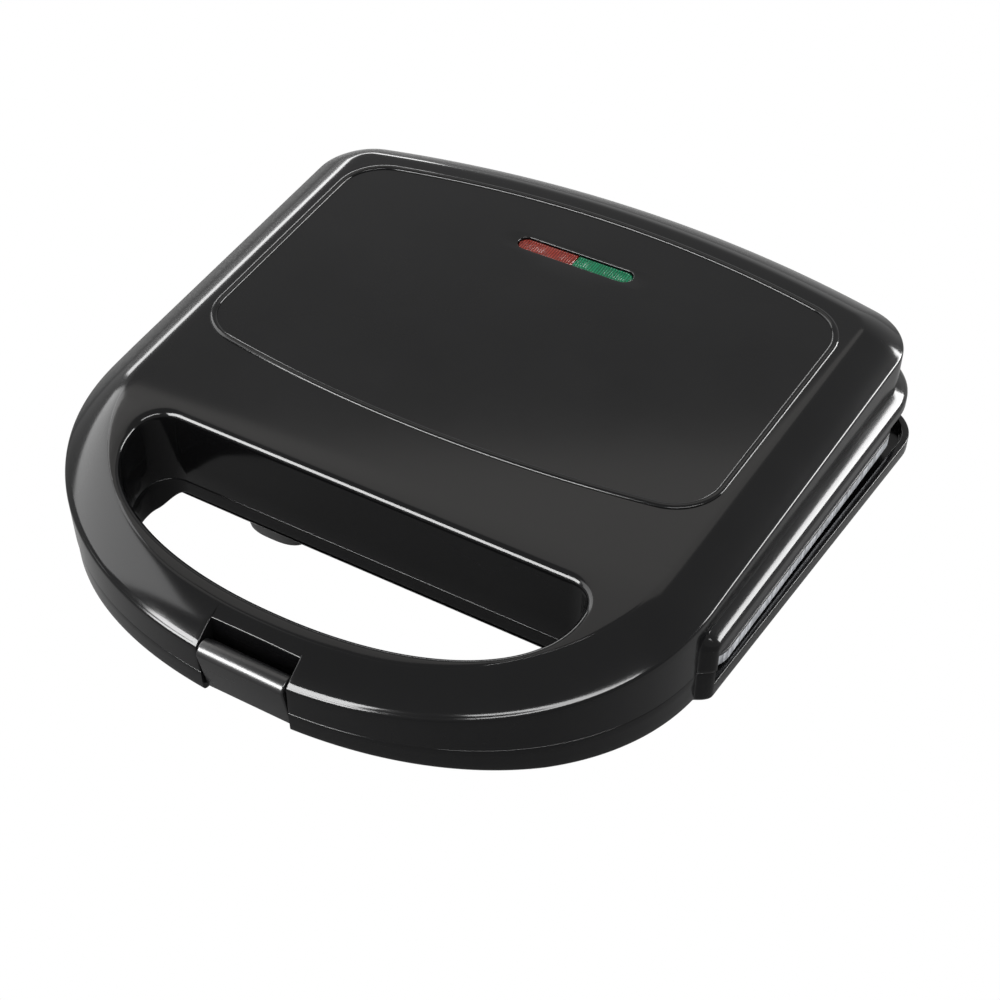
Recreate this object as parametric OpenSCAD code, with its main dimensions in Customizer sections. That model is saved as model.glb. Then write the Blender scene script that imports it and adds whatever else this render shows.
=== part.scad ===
// Two-slice sandwich toaster: a base and a lid hinged at the rear, with a swinging latch on the handle.
// +X is right, +Y is to the rear and +Z is up. The origin is on the table, under the middle.
// The lid's flat deck is tipped a little about X. Lengths "from the datum" run along the deck, from the
// line where the curved handle meets the straight sides. Heights "from the parting" are vertical.

/* [Casing outline] */
// Half width of the lid's shoulder at the datum
half_w = 108; // [104:0.5:112]
// Outward splay of the sides, per mm of depth
side_splay = 0.041; // [0.03:0.001:0.05]
// Reach of the curved handle in front of the datum
front_d = 82.5; // [80:0.5:88]
// Squareness of the curved handle's outline
front_n = 2.2; // [2.1:0.05:2.4]
// Reach of the lid's bowed rear edge behind the datum
rear_d = 161.8; // [160:0.2:166]
// Radius of the lid's bowed rear edge
rear_r = 377; // [350:1:450]
// Radius of the lid's rear corners
corner_r = 22; // [16:1:26]
// Thickness of the moulded walls
wall = 2.4; // [2:0.1:2.8]
// Room between the upper reflector and the deck, at the datum
deck_room = 2.75; // [2:0.25:8]
// Height of the parting plane above the table
part_h = 48.6; // [46:0.2:49]
// Tip of the deck, in degrees
deck_tilt = 3; // [2.5:0.1:3.5]

/* [Lid] */
// Drop from the deck to the shoulder along the sides
shoulder_drop = 8; // [6:0.5:9]
// Further drop of the shoulder at the front of the handle
nose_drop = 6.6; // [5.6:0.1:7.2]
// Width of the sloped border, seen from above
border_w = 14.5; // [13:0.5:16]
// Drop of the handle's top from the opening's rear edge to its front edge
handle_drop = 6.4; // [5.5:0.1:7]
// Bulge of the sloped border
border_bulge = 0.8; // [0:0.1:1.2]
// Flare of the lip outside the shoulder
lip_w = 4; // [3.5:0.1:4.5]
// Height of the lip's lower edge above the parting
lip_gap = 7; // [6.5:0.1:8]
// Height of the lip's face
lip_h = 5; // [4:0.5:6]
// Width of the bead round the panel
bead_w = 2.4; // [1.6:0.2:3]
// Height of the bead above the deck
bead_h = 0.8; // [0.4:0.1:1.2]
// Distance from the lid's shoulder to the panel's side, at the datum
panel_in = 18; // [16:0.5:22]
// Distance from the datum to the panel's bowed front edge
panel_y0 = 15.1; // [12:0.5:20]
// Distance from the lid's rear edge to the panel's bowed rear edge
panel_rear_in = 21.5; // [18:0.5:28]
// Radius of the panel's corners
panel_r = 17; // [12:1:22]

/* [Handle opening] */
// Width of the handle's band beside the opening
band_w = 30; // [29:0.5:36]
// Distance in front of the datum where the opening is widest
hole_y = 26; // [24:0.5:30]
// Width of the handle's band at the nose
nose_w = 18.2; // [17:0.1:19]
// Depth of the opening behind its widest line, and its rear corner radius
hole_back = 9; // [7:0.5:10]

/* [Base] */
// Depth of the rim under the parting along the sides
rim_h = 11.5; // [10.5:0.5:12.5]
// Depth of the rim under the parting at the front of the handle
rim_nose_h = 6.6; // [6:0.1:7.2]
// Depth of the rim under the parting where the handle bends
rim_bend_h = 9.5; // [8.5:0.5:10]
// Depth of the opening's rear wall under the parting
hole_low = 6.4; // [6:0.1:8]
// Drop from the parting to the ledge along the steam slot
ledge_drop = 6; // [5.6:0.1:7]
// Reach of the ledge outside the shoulder, at the front of the slot
ledge_w = 3.8; // [3.4:0.1:4.2]
// Extra reach of the ledge, per mm of depth
ledge_splay = 0.022; // [0.01:0.002:0.026]
// Distance from the datum to the front of the steam slot
slot_y = -4; // [-6:0.5:-3]
// Set-back of the base's rear wall from the lid's rear edge
base_set = 15.3; // [13.8:0.1:15.8]
// Radius of the base's rear corners
base_corner_r = 14; // [10:1:18]
// Set-back of the tub's sides from the shoulder, where it leaves the rim
tub_set = 2; // [1:0.5:4]
// Inward slope of the tub's sides over their height
tub_draw = 26; // [20:0.5:28]
// Distance from the datum to the front of the tub's flat bottom
tub_bottom_y0 = 12; // [11:0.5:16]
// Inward slope of the tub's rear over its height
tub_rear_draw = 16.5; // [12.5:0.5:20.5]
// Height of the feet
foot_h = 6; // [5:0.5:7]
// Length of a foot's straight middle
foot_l = 8; // [4:0.5:10]
// Radius of a foot's ends where it stands
foot_r = 7.6; // [7:0.2:8]
// Radius of a foot's ends where it meets the base
foot_top_r = 9; // [8.6:0.2:10]
// Distance from the side of the tub's flat bottom to the middle of a foot
foot_in = 17; // [14:0.5:22]

/* [Plates and heating] */
// Room behind the plates, in front of the base's rear wall
plate_room = 13.5; // [12.5:0.5:17.5]
// Reach of the plates outside the shoulder line
plate_out = 2.5; // [2:0.1:2.8]
// Thickness of a plate's metal
plate_t = 2; // [1.8:0.1:2.2]
// Height of a plate's bare edge
plate_edge = 4.7; // [4:0.1:5]
// Half the gap between the two closed plates
face_gap = 0.25; // [0.2:0.05:0.4]
// Depth of a sandwich pocket
pocket_d = 11; // [10:0.2:11.4]
// Inward slope of a pocket's walls over its depth
pocket_draft = 5; // [4:0.5:6]
// Width of the land between the pockets and along their front and rear
land_w = 6; // [6:0.5:8]
// Width of the land outside the pockets, left and right
side_land = 9; // [8:0.5:12]
// Width of the ridge that cuts the slices corner to corner
ridge_w = 4; // [3:0.5:6]
// Radius of the heating element's tube
element_r = 3.2; // [3:0.1:3.3]
// Distance from the front or rear edge of a plate to the nearest run of its element
element_in = 36; // [34:1:40]
// Thickness of the reflector's sheet
sheet_t = 0.8; // [0.6:0.1:1]

/* [Hinge and latch] */
// Distance from the base's rear wall to the hinge line
hinge_in = 1.5; // [1.1:0.1:2.5]
// Radius of the hinge knuckles
knuckle_r = 6; // [5.5:0.1:6.2]
// Radius of the hinge pins
hinge_pin_r = 2; // [1.6:0.1:2.4]
// Distance from the middle to the lid's knuckle
knuckle_x = 67; // [64:0.5:70]
// Length of the lid's knuckle
knuckle_l = 10; // [8:0.5:12]
// Width of the latch
latch_w = 29.6; // [26:0.2:31]
// Radius of the latch's barrel
latch_r = 3.5; // [3.2:0.1:3.7]
// Thickness of the latch's tongue
latch_t = 2.8; // [2.4:0.1:3]
// Rearward lean of the latch's tongue over its height
latch_lean = 2.6; // [2:0.1:3]
// Reach of the latch's hook under the catch
hook_l = 3; // [2.4:0.1:3.2]
// Radius of the latch pin
latch_pin_r = 1.5; // [1.2:0.1:1.7]

/* [Lamps and inlet] */
// Length of the lens slot in the deck
lens_l = 43.4; // [36:0.2:48]
// Width of the lens slot in the deck
lens_w = 6.4; // [5:0.2:7]
// Distance from the panel's rear edge to the lens slot
lens_in = 25.5; // [20:0.5:32]
// Radius of the bore in the cord gland
inlet_r = 3.5; // [3:0.1:4]
// Length of the cord gland
inlet_l = 20; // [18:0.5:22]

/* [Fits] */
// Radial clearance of a pin that turns
run_fit = 0.05; // [0.02:0.01:0.09]
// Radial clearance of a pin or a screw that stays still
set_fit = 0.02; // [0.01:0.01:0.04]
// Gap between moving pieces and what they pass
gap = 0.4; // [0.3:0.05:0.5]

/* [Hidden] */
$fn = 48;
big = 300;
nip = 0.5;
tc = cos(deck_tilt);
ts = sin(deck_tilt);

// Places that follow the outline, measured from the datum.
hole_w = half_w - band_w;
hole_d = front_d - hole_y - nose_w;
panel_w = half_w - panel_in;
panel_y1 = rear_d - panel_rear_in;
lens_y = panel_y1 - lens_in;
base_rear_d = rear_d - base_set;
hinge_d = base_rear_d - hinge_in;
plate_front = 1;
plate_d = base_rear_d - plate_room - slot_y - plate_front;
tub_w = half_w - tub_set;
tub_bottom_w = tub_w - tub_draw;
tub_bottom_y1 = base_rear_d - tub_rear_draw;
foot_x = tub_bottom_w - foot_in;

// Heights of what is stacked on each plate, away from the parting. The deck lies over the stack.
snug = 0.1;
back_h = face_gap + pocket_d + plate_t;
element_h = back_h + snug + element_r;
clamp_h = element_h + element_r + snug;
clamp_t = 1.2;
tray_room = 2.4;
reflector_h = clamp_h + clamp_t + tray_room;
post_top = reflector_h + sheet_t;
deck_h = part_h + post_top + deck_room + wall;

// A place on the tipped deck: y back from the datum, z up from the deck.
// back_shift puts the middle of the whole toaster over the origin.
latch_front = front_d + 0.6;
latch_drop = 2.2;
function tipped(x, y, z) = [x, y * tc - z * ts, y * ts + z * tc + deck_h];
front_end = tipped(0, -latch_front, -shoulder_drop - nose_drop - latch_drop)[1];
rear_end = (rear_d + lip_w) * tc - ((part_h + lip_gap - deck_h - (rear_d + lip_w) * ts) / tc) * ts;
back_shift = (front_end + rear_end) / 2;
function place(x, y, z) = tipped(x, y, z) - [0, back_shift, 0];
// A place at a height h from the parting, straight under the point y back from the datum on the deck.
function level(x, y, h) =
    [x, y * tc - ((part_h + h - deck_h - y * ts) / tc) * ts - back_shift, part_h + h];
function place_yz(y, z) = [place(0, y, z)[1], place(0, y, z)[2]];
function level_yz(y, h) = [level(0, y, h)[1], level(0, y, h)[2]];
function smooth(u) = let (v = max(0, min(1, u))) v * v * (3 - 2 * v);

// Centre of a corner round of radius r between the side line x = a + s y and an arc about (0, c0).
function corner_centre(a, s, c0, arc_r, r, dir) =
    let (
        a1 = a - r * sqrt(1 + s * s),
        qa = 1 + s * s,
        qb = 2 * (a1 * s - c0),
        qc = a1 * a1 + c0 * c0 - (arc_r - r) * (arc_r - r),
        y = (-qb + dir * sqrt(qb * qb - 4 * qa * qc)) / (2 * qa)
    ) [a1 + s * y, y];

// Right half of a rear end, from the side to the middle: corner round, then the bowed edge.
function rear_half(a, rear, arc_r, r) =
    let (
        c0 = rear - arc_r,
        c = corner_centre(a, side_splay, c0, arc_r, r, 1),
        t0 = -atan(side_splay),
        t1 = atan2(c[1] - c0, c[0])
    ) concat(
        [for (k = [0:5]) let (t = t0 + (t1 - t0) * k / 5) c + r * [cos(t), sin(t)]],
        [for (k = [1:4]) let (t = t1 + (90 - t1) * k / 4) [arc_r * cos(t), c0 + arc_r * sin(t)]]
    );

// Right half of the casing's outline, from the nose to the rear, grown by off.
// The handle's front is a superellipse whose half width follows the splayed sides.
front_angles = concat([for (k = [0:11]) 90 - 7.5 * k], [3.75, 1.5, 0]);
side_stations = [20, 50, 85, 110];
function half_outline(off, rear, arc_r, r) =
    concat(
        [for (t = front_angles)
            let (y = -(front_d + off) * pow(sin(t), 2 / front_n))
            [(half_w + off + side_splay * y) * pow(cos(t), 2 / front_n), y]],
        [for (y = side_stations) [half_w + off + side_splay * y, y]],
        rear_half(half_w + off, rear + off, arc_r + off, r + off)
    );
// Closes a half outline into a loop, with the left half mirrored from the right.
function loop(half) =
    concat(half, [for (k = [len(half) - 2:-1:1]) [-half[k][0], half[k][1]]]);

// Flare of the lip and ledge: none on the handle, full along the steam slot.
function flare(y) = smooth((y - slot_y + 3) / 4);

// Points of an outline that grows by grow * flare on top of off, station by station.
function flared(off, grow, rear, arc_r, r) =
    let (
        plain = loop(half_outline(off, rear, arc_r, r)),
        wide = loop(half_outline(off + grow, rear, arc_r, r))
    ) [for (k = [0:len(plain) - 1]) plain[k] + (wide[k] - plain[k]) * flare(plain[k][1])];

// Drops of the shoulder and of the border's upper edge below the deck.
function shoulder_z(y) = -shoulder_drop - nose_drop * pow(max(0, (20 - y) / (20 + front_d)), 2.2);
hole_rear = -(hole_y - hole_back);
crest_slope = handle_drop / (hole_y + hole_d + hole_rear);
function crest_z(y) = min(0, (y - hole_rear) * crest_slope);

// Skin through rings of points. The first ring is capped facing down and the last facing up.
// With rungs the caps run straight across from the right half to the left half.
module skin(rings, rungs = false) {
    n = len(rings[0]);
    m = n / 2;
    last = (len(rings) - 1) * n;
    sides = [
        for (k = [0:len(rings) - 2], j = [0:n - 1]) let (i = (j + 1) % n)
            each [
                [k * n + j, (k + 1) * n + j, (k + 1) * n + i],
                [k * n + j, (k + 1) * n + i, k * n + i]
            ]
    ];
    steps = [
        for (j = [1:m - 2]) [j, j + 1, n - j - 1, n - j]
    ];
    caps_down = rungs ? concat([[0, 1, n - 1], [m - 1, m, m + 1]], steps) : [[for (j = [0:n - 1]) j]];
    caps_up = [for (f = caps_down) [for (k = [len(f) - 1:-1:0]) last + f[k]]];
    polyhedron(
        points = [for (r = rings) each r],
        faces = concat(caps_down, sides, caps_up)
    );
}
function ring_level(pts, h) = [for (p = pts) level(p[0], p[1], h)];
// Heights of the lid's wall, drawn down where the shoulder sinks towards the nose.
function wall_rise(y) =
    min(1, (place(0, y, shoulder_z(y))[2] - part_h - 3) / (lip_gap + lip_h + 3.2));
function ring_rise(pts, h) = [for (p = pts) level(p[0], p[1], h * wall_rise(p[1]))];

// Prism along X of a section given as [y, z] points.
module section(pts, x0, x1) {
    translate([x0, 0, 0])
        rotate([90, 0, 90])
            linear_extrude(x1 - x0)
                polygon(pts);
}
module rod_x(y, z, r, x0, x1) {
    translate([x0, y, z])
        rotate([0, 90, 0])
            cylinder(h = x1 - x0, r = r);
}
// The same piece on the right and on the left.
module both_sides() {
    children();
    mirror([1, 0, 0])
        children();
}
// Things laid out along the tipped deck.
module on_deck() {
    translate([0, -back_shift, deck_h])
        rotate([deck_tilt, 0, 0])
            children();
}

// ---- Handle opening ----
// Front: a superellipse close to an ellipse. Rear: a straight edge with round corners.
hole_n = 2.13;
function hole_outline(off) =
    let (
        w = hole_w + off,
        d = hole_d + off,
        r = hole_back + off,
        front = [for (k = [0:12]) let (t = 90 - 7.5 * k)
            [w * pow(cos(t), 2 / hole_n), -hole_y - d * pow(sin(t), 2 / hole_n)]],
        back = [for (k = [1:5]) [w - r + r * cos(18 * k), -hole_y + r * sin(18 * k)]]
    ) loop(concat(front, back, [[0, -hole_y + r]]));
module hole_prism(off) {
    on_deck()
        translate([0, 0, -big / 2])
            linear_extrude(big)
                polygon(hole_outline(off));
}
// Wall round the opening, kept inside a section.
module hole_wall(pts) {
    intersection() {
        hole_prism(wall);
        section(pts, -half_w + wall, half_w - wall);
    }
}

// ---- Latch and hinge places ----
// Room behind the latch's barrel, and play between the latch and its catch.
latch_room = 2.25;
latch_slack = 0.3;
latch_y = -latch_front + latch_r;
latch_z = -shoulder_drop - nose_drop - latch_drop;
latch_axis = place_yz(latch_y, latch_z);
latch_back = latch_y + latch_r + latch_room;
catch_y = -latch_front + latch_t + latch_lean + latch_slack;
catch_h = 2.8;
catch_back = catch_y + hook_l + 3.4;
hook_h = 2.1;
latch_low = catch_h + latch_slack + hook_h;
latch_tip = 2.2;
pocket_x = latch_w / 2 + gap;
block_x = pocket_x + wall;
hinge_y = level(0, hinge_d, 0)[1];

// ---- Plates ----
plate_y0 = level(0, slot_y, 0)[1] + plate_front;
plate_y1 = plate_y0 + plate_d;
plate_mid = (plate_y0 + plate_y1) / 2;
plate_x0 = half_w + side_splay * slot_y + plate_out;
plate_x1 = plate_x0 + side_splay * plate_d;
plate_r = 10;
pocket_x0 = land_w / 2;
pocket_x1 = plate_x0 - side_land;
pocket_y0 = plate_y0 + land_w;
pocket_y1 = plate_y1 - land_w;
post_r = 5;
element_bend = plate_d / 2 - element_in;
// Screw posts, one in each pocket of a slice, clear of the heating tube
post_spots = [
    [pocket_x1 - 27.3, plate_mid + element_bend + 8],
    [pocket_x0 + 21, plate_mid - element_bend - 10]
];
clamp_post_r = 3.4;
clamp_w = 10;
// Places of the heating tube and of the bars that hold it
element_land = 19.3;
element_cold = 25.3;
clamp_in = 5;
clamp_out = 12;
element_x1 = pocket_x1 - element_bend - element_land;
element_x0 = element_cold - pocket_x1;
clamp_x = element_x1 - clamp_in;
clamp_reach = element_bend + clamp_out;
tub_top = part_h - hole_low;
tub_floor = foot_h + wall;

function plate_outline(off) =
    let (
        r = plate_r + off,
        x0 = plate_x0 + off - r,
        x1 = plate_x1 + off - r,
        y0 = plate_y0 - off + r,
        y1 = plate_y1 + off - r
    ) loop(concat(
        [[0, plate_y0 - off]],
        [for (k = [0:6]) [x0 + r * sin(15 * k), y0 - r * cos(15 * k)]],
        [for (k = [0:6]) [x1 + r * cos(15 * k), y1 + r * sin(15 * k)]],
        [[0, plate_y1 + off]]
    ));
// The two three-cornered pockets for the right-hand slice, cut apart along its diagonal.
pocket_corners = [
    [pocket_x0, pocket_y0], [pocket_x1, pocket_y0], [pocket_x1, pocket_y1], [pocket_x0, pocket_y1]
];
pocket_tris = [
    [pocket_corners[0], pocket_corners[1], pocket_corners[3]],
    [pocket_corners[1], pocket_corners[2], pocket_corners[3]]
];
// Draws a triangle's sides in by d, by shrinking it about the centre of its inscribed circle.
function drawn_in(t, d) =
    let (
        a = norm(t[1] - t[2]),
        b = norm(t[2] - t[0]),
        c = norm(t[0] - t[1]),
        p = a + b + c,
        mid = (a * t[0] + b * t[1] + c * t[2]) / p,
        area2 = abs(cross(t[1] - t[0], t[2] - t[0])),
        k = 1 - d * p / area2
    ) [for (q = t) mid + (q - mid) * k];
function at_z(pts, z) = [for (p = pts) [p[0], p[1], z]];
// Tapered three-cornered block, from height z1 at its mouth down to z0.
module wedge(t, in0, z0, in1, z1) {
    skin([at_z(drawn_in(t, in0), z0), at_z(drawn_in(t, in1), z1)]);
}

half_ridge = ridge_w / 2;
// Backs of the pockets. At the plate they stay back_split inside one another's edges.
back_split = 0.4;
module pocket_backs() {
    both_sides()
        for (t = pocket_tris)
            wedge(
                t, half_ridge + pocket_draft - plate_t, -back_h,
                half_ridge - plate_t + back_split, -face_gap - nip
            );
}

// A plate with its face up at z = -face_gap under a parting at z = 0. The upper plate is its mirror.
// With through the holes in its posts run on to the cooking face.
module plate(through) {
    difference() {
        union() {
            translate([0, 0, -face_gap - plate_edge])
                linear_extrude(plate_edge)
                    polygon(plate_outline(0));
            pocket_backs();
            both_sides()
                for (p = post_spots)
                    translate([p[0], p[1], -reflector_h])
                        cylinder(h = reflector_h - back_h + nip, r = post_r - 1);
            both_sides()
                for (s = [-1, 1])
                    translate([clamp_x, plate_mid + s * clamp_reach, -clamp_h])
                        cylinder(h = clamp_h - back_h + nip, r = clamp_post_r);
        }
        difference() {
            translate([0, 0, -face_gap - plate_edge - nip])
                linear_extrude(plate_edge - plate_t + nip)
                    polygon(plate_outline(-plate_t));
            pocket_backs();
        }
        both_sides()
            for (t = pocket_tris)
                wedge(t, half_ridge + pocket_draft, -face_gap - pocket_d, half_ridge, -face_gap + 0.01);
        both_sides()
            for (p = post_spots)
                translate([p[0], p[1], -reflector_h - nip])
                    cylinder(h = through ? big / 4 : reflector_h - back_h + nip, r = screw_r + set_fit);
        both_sides()
            for (s = [-1, 1])
                translate([clamp_x, plate_mid + s * clamp_reach, -clamp_h - nip])
                    cylinder(h = clamp_h - back_h + nip, r = screw_r + set_fit);
    }
}
screw_r = 1.5;
head_r = 2.9;
head_h = 1.8;
screw_floor = 3;

// Heating tube bent into a U, with both ends to the left.
pin_l = 11.5;
pin_x0 = element_x0 - pin_l;
pin_r = 1.2;
module element_tube() {
    translate([0, plate_mid, -element_h]) {
        for (s = [-1, 1]) {
            rod_x(s * element_bend, 0, element_r, element_x0, element_x1);
            rod_x(s * element_bend, 0, pin_r, pin_x0, element_x0 + nip);
        }
        translate([element_x1, 0, 0])
            rotate([0, 0, -90])
                rotate_extrude(angle = 180)
                    translate([element_bend, 0])
                        circle(r = element_r);
    }
}
// Ceramic sleeves on the cold ends.
sleeve_l = 9;
module insulator_pair() {
    for (s = [-1, 1])
        translate([0, plate_mid + s * element_bend, -element_h])
            difference() {
                rod_x(0, 0, element_r, element_x0 - sleeve_l, element_x0 - 0.1);
                rod_x(0, 0, pin_r + run_fit, element_x0 - sleeve_l - 1, element_x0);
            }
}
// Flat bars that hold the tube against the pocket backs.
module clamp_pair() {
    both_sides()
        translate([clamp_x, plate_mid, -clamp_h - clamp_t])
            difference() {
                translate([-clamp_w / 2, -clamp_reach - clamp_w / 2, 0])
                    cube([clamp_w, 2 * clamp_reach + clamp_w, clamp_t]);
                for (s = [-1, 1])
                    translate([0, s * clamp_reach, -nip])
                        cylinder(h = clamp_t + 2 * nip, r = screw_r + set_fit);
            }
}
module clamp_screw_set() {
    both_sides()
        for (s = [-1, 1])
            translate([clamp_x, plate_mid + s * clamp_reach, -clamp_h - clamp_t]) {
                translate([0, 0, -head_h])
                    cylinder(h = head_h, r = head_r);
                cylinder(h = clamp_t + clamp_h - back_h - 0.5, r = screw_r);
            }
}
// Flared steel tray behind the element.
tray_in = 17.3;
tray_margin = 8;
tray_x = pocket_x1 - tray_in;
tray_y = clamp_reach + tray_margin;
tray_flare = 8;
tray_rim = back_h + 0.6;
function tray_loop(grow) =
    [for (c = [[1, 1], [-1, 1], [-1, -1], [1, -1]])
        [c[0] * (tray_x + grow), plate_mid + c[1] * (tray_y + grow)]];
module reflector_tray() {
    difference() {
        skin([
            at_z(tray_loop(0), -post_top), at_z(tray_loop(tray_flare), -tray_rim),
            at_z(tray_loop(tray_flare - sheet_t), -tray_rim), at_z(tray_loop(-0.3), -reflector_h)
        ]);
        both_sides()
            for (p = post_spots)
                translate([p[0], p[1], -post_top - nip])
                    cylinder(h = sheet_t + 2 * nip, r = screw_r + 0.2);
    }
}

// ---- Base ----
base_rear_r = 2000;
bend_y = -2 * front_d / 3;
function rim_depth(y) =
    y < bend_y
        ? rim_bend_h + (rim_nose_h - rim_bend_h) * min(1, (bend_y - y) / (front_d + bend_y))
        : rim_h + (rim_bend_h - rim_h) * max(0, min(1, (slot_y - y) / (slot_y - bend_y)));
// Ring of the rim, set in from the lid's wall, with the ledge's extra splay along the steam slot.
rim_set = 0.2;
rim_round = 2;
rim_dish = 0.9;
function rim_ring(inset) =
    [for (p = flared(-inset, ledge_w, base_rear_d, base_rear_r, base_corner_r))
        [p[0] * (1 + flare(p[1]) * ledge_splay * max(0, p[1]) / half_w), p[1]]];
module rim_shell() {
    outer = rim_ring(rim_set);
    inner = rim_ring(rim_set + wall);
    skin([
        [for (p = rim_ring(rim_set + rim_round)) level(p[0], p[1], -rim_depth(p[1]) - wall + rim_dish)],
        [for (p = outer) level(p[0], p[1], -rim_depth(p[1]))],
        ring_level(outer, 0),
        ring_level(inner, 0),
        [for (p = inner) level(p[0], p[1], -rim_depth(p[1]) + rim_dish)]
    ], rungs = true);
}
function tub_loop(w, y0, y1, r, z) =
    let (
        a = level(0, y0, z - part_h)[1] + r,
        b = level(0, y1, z - part_h)[1] - r
    ) [
        for (k = [0:5]) [w - r + r * sin(18 * k), a - r * cos(18 * k), z],
        for (k = [0:5]) [w - r + r * cos(18 * k), b + r * sin(18 * k), z],
        for (k = [0:5]) [-w + r - r * sin(18 * k), b + r * cos(18 * k), z],
        for (k = [0:5]) [-w + r - r * cos(18 * k), a - r * sin(18 * k), z]
    ];
tub_y0 = hole_rear;
tub_y1 = base_rear_d - 0.3;
tub_r = 18;
// Outline of the tub at height z, drawn in by inset.
function tub_at(z, inset) =
    let (u = (z - foot_h) / (tub_top - foot_h))
    tub_loop(
        tub_bottom_w + (tub_w - tub_bottom_w) * u - inset,
        tub_bottom_y0 + (tub_y0 - tub_bottom_y0) * u + inset,
        tub_bottom_y1 + (tub_y1 - tub_bottom_y1) * u - inset,
        tub_r - inset, z
    );
module tub_shell() {
    skin([tub_at(foot_h, 0), tub_at(tub_top, 0), tub_at(tub_top, wall), tub_at(tub_floor, wall)]);
}
// Hole in the rim's floor over the tub, no wider than the tub is there.
module tub_mouth() {
    z = part_h - rim_h - wall;
    mouth = tub_at(z, wall);
    skin([mouth, at_z(mouth, part_h - 1)]);
}
// Space in front of the tub's sloped front, under the opening's rear wall.
module under_opening() {
    section([
        level_yz(-hole_y, -hole_low), level_yz(tub_y0, -hole_low),
        level_yz(tub_bottom_y0, foot_h - part_h), level_yz(-hole_y, foot_h - part_h)
    ], -hole_w + 3, hole_w - 3);
}
ear_l = 9;
ear_gap = 1;
ear_spots = [knuckle_x - knuckle_l / 2 - ear_gap - ear_l, knuckle_x + knuckle_l / 2 + ear_gap];
inlet_z = 17;
inlet_boss_r = 9;
inlet_end = level(0, base_rear_d, -rim_h)[1] - 2;
gland_r = inlet_r + 2.5;

module base_housing() {
    color([0.03, 0.03, 0.035])
    difference() {
        union() {
            difference() {
                union() {
                    rim_shell();
                    hole_wall([
                        level_yz(-front_d, -rim_nose_h - 0.4), level_yz(bend_y, -rim_bend_h - 0.4),
                        level_yz(hole_rear + wall + nip, -rim_h + 0.2),
                        level_yz(hole_rear + wall + nip, 0), level_yz(-front_d, 0)
                    ]);
                }
                tub_mouth();
                under_opening();
            }
            tub_shell();
            // Catch block behind the latch
            section([
                level_yz(-front_d + 1, 0), level_yz(-front_d + 1, -rim_nose_h),
                level_yz(catch_back, -rim_nose_h - 1), level_yz(catch_back, 0)
            ], -block_x, block_x);
            // Hinge ears
            both_sides()
                for (x = ear_spots) {
                    rod_x(hinge_y, part_h, knuckle_r, x, x + ear_l);
                    translate([x, hinge_y - knuckle_r, part_h - rim_h])
                        cube([ear_l, knuckle_r + 1, rim_h]);
                }
            // Screw posts
            both_sides()
                for (p = post_spots)
                    translate([p[0], p[1], foot_h])
                        cylinder(h = part_h - post_top - foot_h, r = post_r);
            // Boss round the cord gland
            translate([0, inlet_end, inlet_z])
                rotate([90, 0, 0])
                    cylinder(h = inlet_l - 6, r = inlet_boss_r);
        }
        hole_prism(0);
        // Steam slot above the ledge
        both_sides()
            translate([half_w - 12, level(0, slot_y, 0)[1], part_h - ledge_drop])
                cube([half_w, big, ledge_drop + 1]);
        rear_slot();
        // Room for the lid's knuckles
        both_sides()
            rod_x(hinge_y, part_h, knuckle_r + 1.5, ear_spots[0] + ear_l, ear_spots[1]);
        // Bores of the hinge pins
        both_sides()
            rod_x(hinge_y, part_h, hinge_pin_r + set_fit, ear_spots[0] - 1, ear_spots[1] + ear_l + 1);
        // Latch pocket, and the groove under the catch
        section([
            level_yz(-front_d - 8, 1), level_yz(-front_d - 8, -20),
            level_yz(catch_y, -20), level_yz(catch_y, 1)
        ], -pocket_x, pocket_x);
        section([
            level_yz(-front_d - 8, -catch_h), level_yz(-front_d - 8, -20),
            level_yz(catch_y + hook_l + 0.6, -20), level_yz(catch_y + hook_l + 0.6, -catch_h)
        ], -pocket_x, pocket_x);
        // Screw holes, sunk from below
        both_sides()
            for (p = post_spots)
                translate([p[0], p[1], 0]) {
                    cylinder(h = part_h - post_top - screw_floor, r = head_r + 0.3);
                    cylinder(h = part_h, r = screw_r + set_fit);
                }
        // Bore for the cord gland
        translate([0, inlet_end + 1, inlet_z])
            rotate([90, 0, 0])
                cylinder(h = inlet_l + 4, r = gland_r + set_fit);
    }
}
// Cuts the rear wall down to the ledge between the hinge ears.
module rear_slot() {
    y0 = hinge_y - 20;
    x_in = ear_spots[0];
    translate([-x_in, y0, part_h - ledge_drop])
        cube([2 * x_in, 40, ledge_drop + 1]);
    both_sides()
        translate([ear_spots[1] + ear_l, y0, part_h - ledge_drop])
            cube([half_w - ear_spots[1] - ear_l, 40, ledge_drop + 1]);
}

foot_y0 = level(0, tub_bottom_y0, -part_h)[1] + foot_top_r;
foot_y1 = level(0, tub_bottom_y1, -part_h)[1] - foot_top_r - 1.5;
module feet() {
    color([0.05, 0.05, 0.05])
    both_sides()
        for (y = [foot_y0, foot_y1])
            translate([foot_x, y, 0]) {
                for (s = [-1, 1])
                    translate([s * foot_l / 2, 0, 0])
                        cylinder(h = foot_h, r1 = foot_r, r2 = foot_top_r);
                section([
                    [-foot_r, 0], [foot_r, 0], [foot_top_r, foot_h], [-foot_top_r, foot_h]
                ], -foot_l / 2, foot_l / 2);
            }
}

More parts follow.
